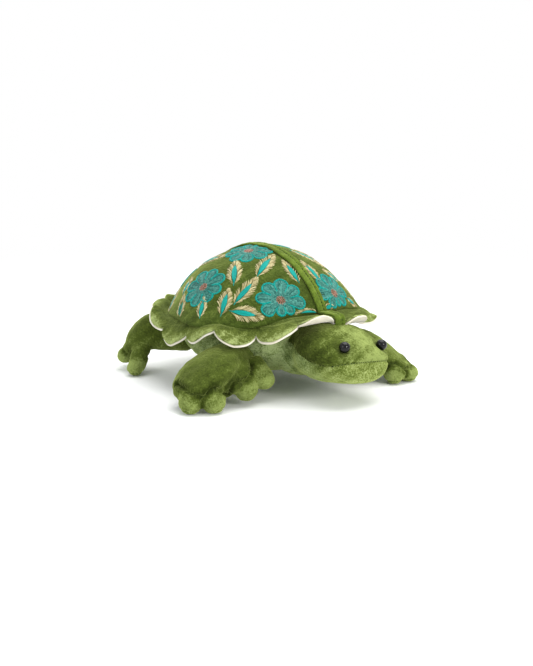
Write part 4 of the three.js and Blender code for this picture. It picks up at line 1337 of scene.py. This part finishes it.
def rim_line(k, t):
    """Angle from the face, and radius, height and lean of the rim's upper face at each station."""
    angle, length, full = rim_column(k, t)
    turn = math.degrees(math.acos(math.cos(angle)))
    tilt = float(np.interp(turn, *zip(*(RIGHT_LEAN if angle <= math.pi else LEFT_LEAN))))
    out = length * (1 - 0.2 * smoothstep(turn, 118, 148))
    curl, start, roll = CURL[k]
    line = []
    r, h, before = DOME_RADIUS, RIM_TOP, 0.0
    for s in RIM_STATIONS:
        lean = (tilt + curl * full**0.5 * smoothstep(s, start, 1.0)) * RAD
        r += (s - before) * out * math.cos(lean)
        h += (s - before) * out * math.sin(lean)
        before = s
        loose = min(max((s - 0.3) / 0.7, 0), 1)
        puff = 2.3 * LOBE_FULL[k] * full**0.8 * math.sin(math.pi * loose**0.75)
        line.append((r, h + puff + roll * (0.5 - t) * 2 * full * s**2, lean))
    return angle, line


def rim_ring(angle, line, top, under, grow, tip):
    """A sheet's outline at an angle from the face.
    top, under: how deep its faces lie below the line; grow, tip: how far it reaches past the line's end."""

    def place(r, h):
        return (-r * math.sin(angle), -r * math.cos(angle), h)

    def offset(entry, down, out):
        r, h, lean = entry
        c, s = math.cos(lean), math.sin(lean)
        return place(r + c * out + s * down, h + s * out - c * down)

    def face(depth):
        root = [place(RIM_INNER, RIM_TOP - depth), place(DOME_RADIUS - 2, RIM_TOP - depth)]
        return root + [offset(e, depth, grow * smoothstep(s, 0.8, 1)) for e, s in zip(line, RIM_STATIONS)]

    middle, corner = (top + under) / 2, grow + tip * 0.7
    ends = ((top + 0.2, corner), (middle, grow + tip), (under - 0.2, corner))
    return face(top) + [offset(line[-1], *end) for end in ends] + face(under)[::-1]


def build_rim():
    velvet, lining, tones_and_shades = [], [], []
    for k in range(SCALLOPS):
        for i in range(LOBE_STEPS):
            t = i / LOBE_STEPS if k < SCALLOPS - 1 else i / (LOBE_STEPS - 1)
            angle, line = rim_line(k, t)
            velvet.append(rim_ring(angle, line, 0, 1.6, 0, 0.7))
            lining.append(rim_ring(angle, line, 1.8, 3.2, 0.7, 0.75))
            # Painted shade at each lobe's root, under the dome's bulge, and painted sheen that grows towards
            # its edge, most in the lobe's middle; the edge itself painted light.
            full = math.sin(math.pi * min(t, 1))
            shade = [-0.42 + 0.7 * smoothstep(s, 0.4, 1) * (0.35 + 0.65 * full) for s in RIM_STATIONS]
            tones_and_shades += [-0.42, -0.42] + shade + [0.3] * 3 + shade[::-1] + [-0.42, -0.42]
    for name, rings, slot, node in (
        ("shell_rim_velvet_scallops", velvet, "rim_velvet", "shell_rim_velvet"),
        ("shell_rim_lining_scallops", lining, "cream_lining", "shell_rim_lining"),
    ):
        faces = ring_faces(len(rings), len(rings[0]), closed=True)
        obj = make_object(name, from_shell(np.array(rings).reshape(-1, 3)), faces)
        v = coords(obj)
        local = in_shell(v)
        loose = rise(np.hypot(local[:, 0], local[:, 1]) - DOME_RADIUS, 3, 8)
        v[:, 2] += loose * (0.8 * noise_at(v * (1, 1, 0), 12, 2.2) + 0.3 * noise_at(v * (1, 1, 0), 5, 6.2))
        set_coords(obj, v)
        paint(obj, "tone_and_shade", tones_and_shades)
        piece(obj, slot, node)


def strap_line():
    """The strap's middle line in the plane of y and z of the shell's frame, from rear to face."""
    radius = CAP_RADIUS + 0.3
    front = math.acos((0.3 - CAP_CENTRE[2]) / radius)
    rear = math.acos((2.5 - CAP_CENTRE[2]) / radius)
    path = []
    for i in range(60):
        a = -rear + (front + rear) * i / 59
        path.append((radius * math.sin(a), CAP_CENTRE[2] + radius * math.cos(a)))
    lean = RIGHT_LEAN[0][1] * RAD
    out, down = math.cos(lean), math.sin(lean)
    for s in (0.3, 0.6, 0.9):
        path.append((DOME_RADIUS + STRAP_REACH * s * out, RIM_TOP + 0.9 + 0.8 * s + STRAP_REACH * s * down))
    edge = DOME_RADIUS + (STRAP_REACH + 0.3) * out
    high = RIM_TOP + (STRAP_REACH + 0.3) * down
    path += [(edge + 0.9, high + 1.0), (edge + 1.7, high - 1.6), (edge + 0.9, high - 4.2)]
    for s in (0.75, 0.45, 0.2):
        path.append((DOME_RADIUS + STRAP_REACH * s * out, RIM_TOP - 4.4 + STRAP_REACH * s * down))
    return smooth_rows(path, 190)


# Section: across and height; a folded ribbon with puffed sides and a sewn line in its middle.
STRAP_PROFILE = [
    (-1.0, 0.1), (-1.04, 0.5), (-0.96, 0.86), (-0.72, 1.0), (-0.3, 1.04), (0.05, 0.92),
    (0.2, 0.66), (0.34, 0.66), (0.48, 0.88), (0.66, 0.98), (0.82, 0.97), (0.97, 0.82),
    (1.04, 0.5), (1.0, 0.1), (0.6, -0.05), (0.2, -0.05), (-0.2, -0.05), (-0.6, -0.05),
]


def build_strap():
    """Builds the strap, and gives its middle line, the way out of it, and the length along it."""
    line = strap_line()
    step = np.gradient(line, axis=0)
    step /= np.linalg.norm(step, axis=1)[:, None]
    out = np.stack([-step[:, 1], step[:, 0]], 1)
    along = length_along(line)
    rings = []
    for i, (y, z) in enumerate(line):
        s = along[i]
        share = i / (len(line) - 1)
        half = 4.9 - 0.7 * (smoothstep(share, 0.45, 0.8) - smoothstep(share, 0.84, 0.9))
        half += 0.2 * math.sin(s / 9.0) + 0.12 * math.sin(s / 3.7)
        high = 1.75 + 0.2 * math.sin(s / 4.3 + 1)
        sway = 0.35 * math.sin(s / 23.0)
        oy, oz = out[i]
        rings.append([(a * half + sway, -(y + oy * b * high), z + oz * b * high) for a, b in STRAP_PROFILE])
    rings = np.array(rings)
    verts, faces = closed_loft(rings, rings[0].mean(0), rings[-1].mean(0))
    strap = make_object("shell_strap_ribbon", from_shell(verts), faces)
    ripple(strap, 0.22, 3.2, 8.3)
    v = coords(strap)
    # Slow waves along the strap and a darker colour overall, with painted light where it folds over the rim
    # at the front.
    paint(strap, "tone_and_shade", 0.12 * np.sin(v[:, 1] / 11) - 0.2 + 0.1 * smoothstep(-v[:, 1], 78, 88))
    piece(strap, "strap_velvet", "shell_strap")
    return line, out, along


# ---------------------------------------------------------------- stitches


class Stitches:
    """Many short threads, each a flat-bellied strand from point to point over a surface."""

    def __init__(self):
        self.verts, self.faces, self.tones_and_shades = [], [], []

    def add(self, line, ups, width, height):
        """line: points in mm; ups: the surface normal at each; ends taper."""
        line = np.asarray(line)
        count = len(line)
        base = len(self.verts)
        self.tones_and_shades += [len(self.faces) * 0.618034 % 1 - 0.5] * (4 * count)
        for i, (p, n, along) in enumerate(zip(line, ups, np.gradient(line, axis=0))):
            side = np.cross(along, n)
            size = np.linalg.norm(side)
            side = side / size if size > 1e-9 else np.array([1.0, 0, 0])
            share, lift = (0.45, -0.15) if i in (0, count - 1) else (1.0, height)
            for across, up in ((0.5, -0.2), (0.25, lift * 0.8), (-0.25, lift * 0.8), (-0.5, -0.2)):
                self.verts.append(p + side * width * across * share + n * up)
        self.faces += [tuple(base + j for j in face) for face in ring_faces(count, 4)]
        self.faces.append((base + 3, base + 2, base + 1, base))
        last = base + 4 * (count - 1)
        self.faces.append((last, last + 1, last + 2, last + 3))

    def build(self, name, slot, node=None, body="torso"):
        obj = make_object(name, self.verts, self.faces)
        paint(obj, "tone_and_shade", self.tones_and_shades)
        piece(obj, slot, node, body)


def dome_place(directions):
    """Points of the dome's skin for directions from the cap's centre, true to length on its bulge."""
    d = np.asarray(directions)
    theta = np.degrees(np.arccos(np.clip(d[:, 2], -1, 1)))
    angle = np.arctan2(d[:, 0], -d[:, 1])
    reach = DOME_EDGE - FLARE_START
    shorter = reach / (reach + FLARE_ARC * flare_amount(np.degrees(angle)))
    theta = np.where(theta > FLARE_START, FLARE_START + (theta - FLARE_START) * shorter, theta)
    t = theta * RAD
    flat = np.stack([np.sin(t) * np.sin(angle), -np.sin(t) * np.cos(angle), np.cos(t)], 1)
    return from_shell(dome_shape(CAP_CENTRE + flat * CAP_RADIUS)), theta


def dome_direction(theta, phi):
    t, p = theta * RAD, phi * RAD
    return np.array([math.sin(t) * math.sin(p), -math.sin(t) * math.cos(p), math.cos(t)])


class Motif:
    """A flat drawing laid on the dome: a and b in mm from its centre, b along the way given as up."""

    def __init__(self, centre, up, turn=0.0):
        side = np.cross(up, centre)
        c, s = math.cos(turn * RAD), math.sin(turn * RAD)
        self.centre, self.b, self.a = centre, up * c + side * s, side * c - up * s

    def at(self, a, b):
        length = math.hypot(a, b)
        if length < 1e-9:
            return self.centre
        way = (self.a * a + self.b * b) / length
        angle = length / CAP_RADIUS
        return self.centre * math.cos(angle) + way * math.sin(angle)

    def stitch(self, kind, start, end, width, height, bow=0.0, steps=4):
        start, end = np.array(start, float), np.array(end, float)
        across = np.array([-(end - start)[1], (end - start)[0]])
        ways = []
        for t in np.linspace(0, 1, steps):
            ways.append(self.at(*(start + (end - start) * t + across * bow * math.sin(math.pi * t))))
        ways = np.array(ways)
        if np.abs(ways[:, 0] * CAP_RADIUS).min() < STRAP_WIDTH / 2 - 1.6:
            return
        line, theta = dome_place(ways)
        if theta.max() <= DOME_EDGE - 0.9:
            kind.add(line, ways @ SHELL_TURN.T, width, height)


def motif_at(theta, phi, turn):
    """A motif turned from the way up to the crown."""
    centre = dome_direction(theta, phi)
    up = np.array([0, 0, 1.0]) - centre * centre[2]
    return Motif(centre, up / np.linalg.norm(up), turn)


petals, outlines, golds, roses = Stitches(), Stitches(), Stitches(), Stitches()
rng = np.random.default_rng(5)


def rnd(spread):
    return float(rng.uniform(-spread, spread))


def on_ray(radius, angle):
    return (radius * math.cos(angle), radius * math.sin(angle))


def petal_beyond(m, way, reach):
    """Whether a petal of this reach would leave the dome's skin."""
    spots = [on_ray(reach * r, way + a) for r, a in ((1, 0), (0.86, 0.3), (0.86, -0.3))]
    return dome_place([m.at(*spot) for spot in spots])[1].max() > DOME_EDGE - 1.6


def petal(m, way, reach):
    """A petal from the motif's centre: ground strokes, short stitches on them, and a bright outline."""
    shoulder = reach * 0.72
    wide = shoulder * math.tan(math.pi / 8) * 0.98

    def half(r):
        if r <= shoulder:
            return wide * (r / shoulder) ** 0.9
        return wide * math.sqrt(max(1 - ((r - shoulder) / (reach - shoulder)) ** 2, 0))

    def spot(r, x):
        return (r * math.cos(way) - x * math.sin(way), r * math.sin(way) + x * math.cos(way))

    for i in range(9):
        w = -0.88 + 1.76 * i / 8
        end = shoulder + (reach - shoulder) * math.sqrt(1 - w**2) * 0.94
        knee = w * half(shoulder)
        high = 0.3 + 0.03 * (i % 3)
        m.stitch(petals, spot(2.2, w * half(2.2)), spot(shoulder, knee), 2.6, high, steps=7)
        m.stitch(petals, spot(shoulder * 0.8, knee * 0.8), spot(end, knee * 0.97), 2.6, high, steps=5)
    for i in range(16):
        w = -0.94 + 1.88 * i / 15
        end = shoulder + (reach - shoulder) * math.sqrt(1 - (w * 0.98) ** 2) * 0.95
        low = 3.0 + abs(rnd(0.8))
        while low < end - 1.2:
            high = min(low + 3.2 + 2.6 * rng.random(), end)
            lean = rnd(0.1)
            at_low, at_high = half(low), half(min(high, shoulder))
            ends = spot(low, (w - lean) * at_low), spot(high, (w + lean) * at_high)
            m.stitch(petals, *ends, 0.86, 0.5 + abs(rnd(0.3)), steps=3)
            low = high - 0.5
    for i in range(27):
        a = (-1 + i / 13) * math.pi / 2
        c, s = math.cos(a), math.sin(a)
        r, x = shoulder + (reach - shoulder) * c, wide * s
        deep = 1.1 + abs(rnd(0.8))
        outer = (r + 0.35 * c + rnd(0.2), x + 0.35 * s)
        m.stitch(outlines, spot(r - deep * c, x - deep * s), spot(*outer), 0.95, 0.95, steps=4)
    for side in (-1, 1):
        for i in range(7):
            r = reach * 0.4 + (shoulder - reach * 0.4) * i / 6
            ends = [spot(q, side * (half(min(q, shoulder)) - 0.3) + rnd(0.12)) for q in (r - 0.5, r + 1.5)]
            m.stitch(outlines, *ends, 0.8 + 0.07 * i, 0.98, steps=4)


FLOWER_SIZE = 19.0


def flower(theta, phi, turn):
    m = motif_at(theta, phi, turn)
    for p in range(8):
        way = (p + 0.5) * math.pi / 4 + rnd(0.04)
        reach = FLOWER_SIZE * (1 + rnd(0.04))
        while reach > 9 and petal_beyond(m, way, reach):
            reach -= 0.4
        petal(m, way, reach)
    for ring, count in ((0.17, 13), (0.1, 8), (0.03, 4)):
        for i in range(count):
            a = i / count * 2 * math.pi + rnd(0.1)
            start = on_ray(FLOWER_SIZE * (ring - 0.045), a)
            end = on_ray(FLOWER_SIZE * (ring + 0.045), a + 0.35)
            m.stitch(roses, start, end, 1.1, 1.0, steps=3)


def leaf(m, length, width):
    """A leaf along the motif's b: a lens of satin stitch, with feathered strokes on both sides."""
    half = length / 2

    def edge(y):
        u = min(max((y + half) / length, 0.0), 1.0)
        return width / 2 * max(math.sin(math.pi * u**0.88), 0) ** 0.7

    def vein(y):
        u = (y + half * 0.96) / (length * 0.7)
        return 1.85 * math.sin(math.pi * u**0.85) ** 0.7 if 0 < u < 1 else 0.0

    middle = -half * 0.96 + 0.37 * length
    for i in range(11):
        w = -1 + 2 * (i + 0.5) / 11
        long = 0.36 * length * (1 - 0.5 * abs(w) ** 2.5)
        x = w * 1.75
        ends = (x * 0.45, middle - long + rnd(0.4)), (x * 0.62, middle + long + rnd(0.5))
        m.stitch(outlines, *ends, 0.85, 0.75, bow=-0.08 * w, steps=6)
    rows = int(length / 0.8)
    for side in (-1, 1):
        for i in range(rows):
            y = -half * 0.97 + length * 0.93 * (i + 0.5) / rows + rnd(0.15)
            lean = (50 - 32 * (y + half) / length + rnd(6)) * RAD
            x0 = vein(y) + 0.1 + abs(rnd(0.3))
            x, z = x0, y
            limit = 1 + rnd(0.16)
            while x < edge(z) * limit and z < half * 1.06:
                x += 0.35 * math.sin(lean)
                z += 0.35 * math.cos(lean)
                lean *= 0.985
            if math.hypot(x - x0, z - y) > 1.0:
                ends = (side * x0, y), (side * x, z)
                m.stitch(golds, *ends, 0.56, 0.45 + abs(rnd(0.35)), bow=side * 0.07, steps=5)
    m.stitch(outlines, (0, -half * 0.8), (rnd(0.4), -half * 1.1), 0.9, 0.5, steps=3)


def leaf_between(base, tip, width):
    a, b = dome_direction(*base), dome_direction(*tip)
    m = Motif((a + b) / np.linalg.norm(a + b), (b - a) / np.linalg.norm(b - a))
    leaf(m, math.acos(float(np.clip(a @ b, -1, 1))) * CAP_RADIUS, width)


# Polar angle from the crown, angle from the face (turtle's right is negative), and turn: three on the right,
# three on the left and two near the crown.
FLOWERS = [
    (57.9, -26, 32.5),
    (48.8, -85.5, 24),
    (52, -146, 4),
    (57.9, 19.2, 30),
    (49, 86, 12),
    (52, 147, 20),
    (15.3, -59.6, 8),
    (17, 118, 16),
]
# Leaves from stem end to tip: polar angle and angle from the face at each end, then width.
LEAVES = [
    ((46.5, -59), (26, -69), 12.5),
    ((41, -41), (22, -14), 12.5),
    ((47.5, -8.6), (28.5, -10.8), 10),
    ((49, 12.4), (31, 12.6), 10),
    ((60.5, -56), (41, -40), 13),
    ((67.5, -63), (48.5, -62), 13),
    ((64.8, -58), (69, -37), 13),
    ((66.9, -3.5), (66, -19), 8),
    ((69, -77), (55.5, -80.5), 9.5),
    ((70.5, -95.7), (54.5, -104.3), 10.5),
    ((55.5, -106), (43, -112), 10),
    ((36.5, -134), (22, -92), 12.5),
    ((20, 29), (42, 44), 11),
    ((53.5, 42), (41.5, 31), 9),
    ((65.5, 3.5), (64.3, 12), 6),
    ((64, 32), (71, 38.5), 8),
]
# Leaves on the sides that face away: polar angle, angle from the face, turn, length, width.
FAR_LEAVES = [
    (60, -122, -24, 24, 11),
    (31, -168, -20, 24, 11),
    (58, -169, 12, 22, 10.5),
    (62, 52, 24, 22, 10),
    (29.5, 66, 22, 20, 10.5),
    (61, 104, 14, 23, 10.5),
    (34, 108, -46, 26, 11.5),
    (60, 123, 24, 24, 11),
    (33.5, 137, -30, 16, 9),
    (31, 170, 18, 24, 11),
    (60, 168, -12, 22, 10.5),
    (64, 72, -8, 18, 9),
]


def build_embroidery():
    for row in FLOWERS:
        flower(*row)
    for row in LEAVES:
        leaf_between(*row)
    for theta, phi, turn, length, width in FAR_LEAVES:
        leaf(motif_at(theta, phi, turn), length, width)
    petals.build("embroidery_petals", "petal_thread")
    outlines.build("embroidery_edges_and_veins", "edge_thread")
    golds.build("embroidery_leaf_threads", "gold_thread")
    roses.build("embroidery_flower_centres", "rose_thread")


def sewn_row(name, points, ups, width, height, share=0.68, node=None, body="torso"):
    """A row of backstitches along a line of points."""
    kind = Stitches()
    for a, b, na, nb in zip(points[:-1], points[1:], ups[:-1], ups[1:]):
        m = a + (b - a) * share
        line = [a + (m - a) * t for t in np.linspace(0, 1, 4)]
        kind.add(line, [na + (nb - na) * t for t in np.linspace(0, share, 4)], width, height)
    kind.build(name, "dark_thread", node, body)


def strap_stitches(line, out, along):
    marks = np.arange(4, along[-1] - 14, 2.6)
    y, z, oy, oz = [np.interp(marks, along, row) for row in (*(line + out * 1.35).T, *out.T)]
    points = from_shell(np.stack([0.35 * np.sin(marks / 23.0) + 1.25, -y, z], 1))
    ups = np.stack([np.zeros(len(marks)), -oy, oz], 1) @ SHELL_TURN.T
    sewn_row("strap_backstitches", points, ups, 0.5, 0.35)


# ---------------------------------------------------------------- face and toes

# The bead, how far its middle stands out of its seat, and the levels and radius of its stem, in mm.
BEAD_RADIUS, BEAD_OUT = 4.15, 3.4
STEM_LEVELS, STEM_RADIUS = (-6.5, -5, -4.2, -3.6), 1.3
EYE_THREADS = 5
# Half the angle that the mouth goes round the snout, and the rays that find it.
MOUTH_SPREAD, MOUTH_RAYS, PROBE_REACH = 62, 30, 70


def build_eyes(seats):
    """The beads, and the threads that pull them in."""
    slices = np.linspace(0, np.pi, 26)[1:-1]
    rings = [circle(BEAD_RADIUS * np.sin(t), -BEAD_RADIUS * np.cos(t), 40) for t in slices]
    bead = closed_loft(rings, [0, 0, -BEAD_RADIUS], [0, 0, BEAD_RADIUS])
    rings = [circle(STEM_RADIUS, h, 16) for h in STEM_LEVELS]
    stem = closed_loft(rings, [0, 0, STEM_LEVELS[0]], [0, 0, STEM_LEVELS[-1]])
    verts, faces = joined([bead, stem])
    faces = [tuple(reversed(f)) for f in faces]
    for name, (point, lean) in seats.items():
        axes = np.array(Vector(lean).to_track_quat("Z", "Y").to_matrix())
        obj = make_object(name + "_black_bead", verts @ axes.T + (point + lean * BEAD_OUT), faces)
        piece(obj, "black_bead", name + "_bead", "head")
        shank = Stitches()
        for k in range(EYE_THREADS):
            a = k / EYE_THREADS * 2 * math.pi + 0.4
            way = axes[:, 0] * math.cos(a) + axes[:, 1] * math.sin(a)
            start = point - lean * 0.9 + way * 4.6
            end = point - lean * 0.6 + way * 1.6
            shank.add([start, (start + end) / 2 + lean * 0.4, end], [lean] * 3, 0.7, 0.5)
        piece(make_object(name + "_threads", shank.verts, shank.faces), "dark_thread", body="head")


def surface_line(trees, starts, ways):
    """Where rays first meet any of the skins: points and normals in mm."""
    points, ups = [], []
    for start, way in zip(starts, ways):
        hits = [tree.ray_cast(Vector(to_frame(start)), Vector(way)) for tree in trees]
        hits = [hit for hit in hits if hit[0] is not None]
        if hits:
            best = min(hits, key=lambda hit: hit[3])
            points.append(from_frame(best[0]))
            ups.append(np.array(best[1]))
    return np.array(points), np.array(ups)


def build_mouth():
    """Stitches along the side seam, round the snout."""
    trees = [skin_tree(bpy.data.objects[name]) for name in ("head_upper_velvet", "head_lower_plush")]
    centre_y = NECK_Y - HEAD_LENGTH * 0.56
    starts, ways = [], []
    for a in np.linspace(-MOUTH_SPREAD, MOUTH_SPREAD, MOUTH_RAYS):
        out = np.array([math.sin(a * RAD), -math.cos(a * RAD), 0])
        way = HEAD_TURN @ -out
        y = NECK_Y - HEAD_LENGTH * 0.9
        for _ in range(4):
            level = np.array([0, centre_y, float(np.interp(y, SEAM_Y, SEAM_Z))])
            probe = HEAD_TURN @ (level + out * PROBE_REACH - NECK_PIVOT) + NECK_PIVOT
            hit, _ = surface_line(trees, [probe], [way])
            if len(hit) == 0:
                break
            y = head_points(hit)[0][1]
        starts.append(probe)
        ways.append(way)
    points, ups = surface_line(trees, starts, ways)
    sewn_row("mouth_backstitches", points, ups, 0.95, 0.35, 0.72, "mouth_stitch", "head")


def build_toe_gathers():
    for name, leg in LEGS.items():
        line = smooth_rows(leg["lines"][min(1, len(leg["lines"]) - 1)], 40)
        along = length_along(line)
        marks = np.arange(5.0, min(along[-1], 30.0), 2.1)
        seats = np.stack([np.interp(marks, along, line[:, i]) for i in range(3)], 1)
        out = seats - np.array([leg["reach"] * 0.62, 0, 10.0])
        out /= np.linalg.norm(out, axis=1)[:, None]
        ways = -(out @ leg_axes(leg))
        tree = skin_tree(bpy.data.objects[name + "_velvet"])
        points, ups = surface_line([tree], from_leg(leg, seats + out * 25), ways)
        sewn_row(name + "_toe_gather", points, ups, 0.6, 0.25, 0.7, body=name)


# ---------------------------------------------------------------- the whole

make_camera()
make_world(0.62, (0.93, 0.97, 1.0))
make_lamps()
make_floor()
bpy.context.scene.view_settings.view_transform = "Standard"

body_form = build_torso_and_head()
eyes = eye_seats(body_form)
finish_torso_and_head(body_form, eyes)
finish_panels(body_form)
for leg_name, leg_facts in LEGS.items():
    build_leg(leg_name, leg_facts)
build_dome()
build_rim()
strap = build_strap()
build_embroidery()
strap_stitches(*strap)
build_eyes(eyes)
build_mouth()
build_toe_gathers()

for node in ("right_eye_washer", "left_eye_washer"):
    washer = frame["nodes"][node]
    washer.data.materials.clear()
    washer.data.materials.append(MATERIALS["washer_plastic"])
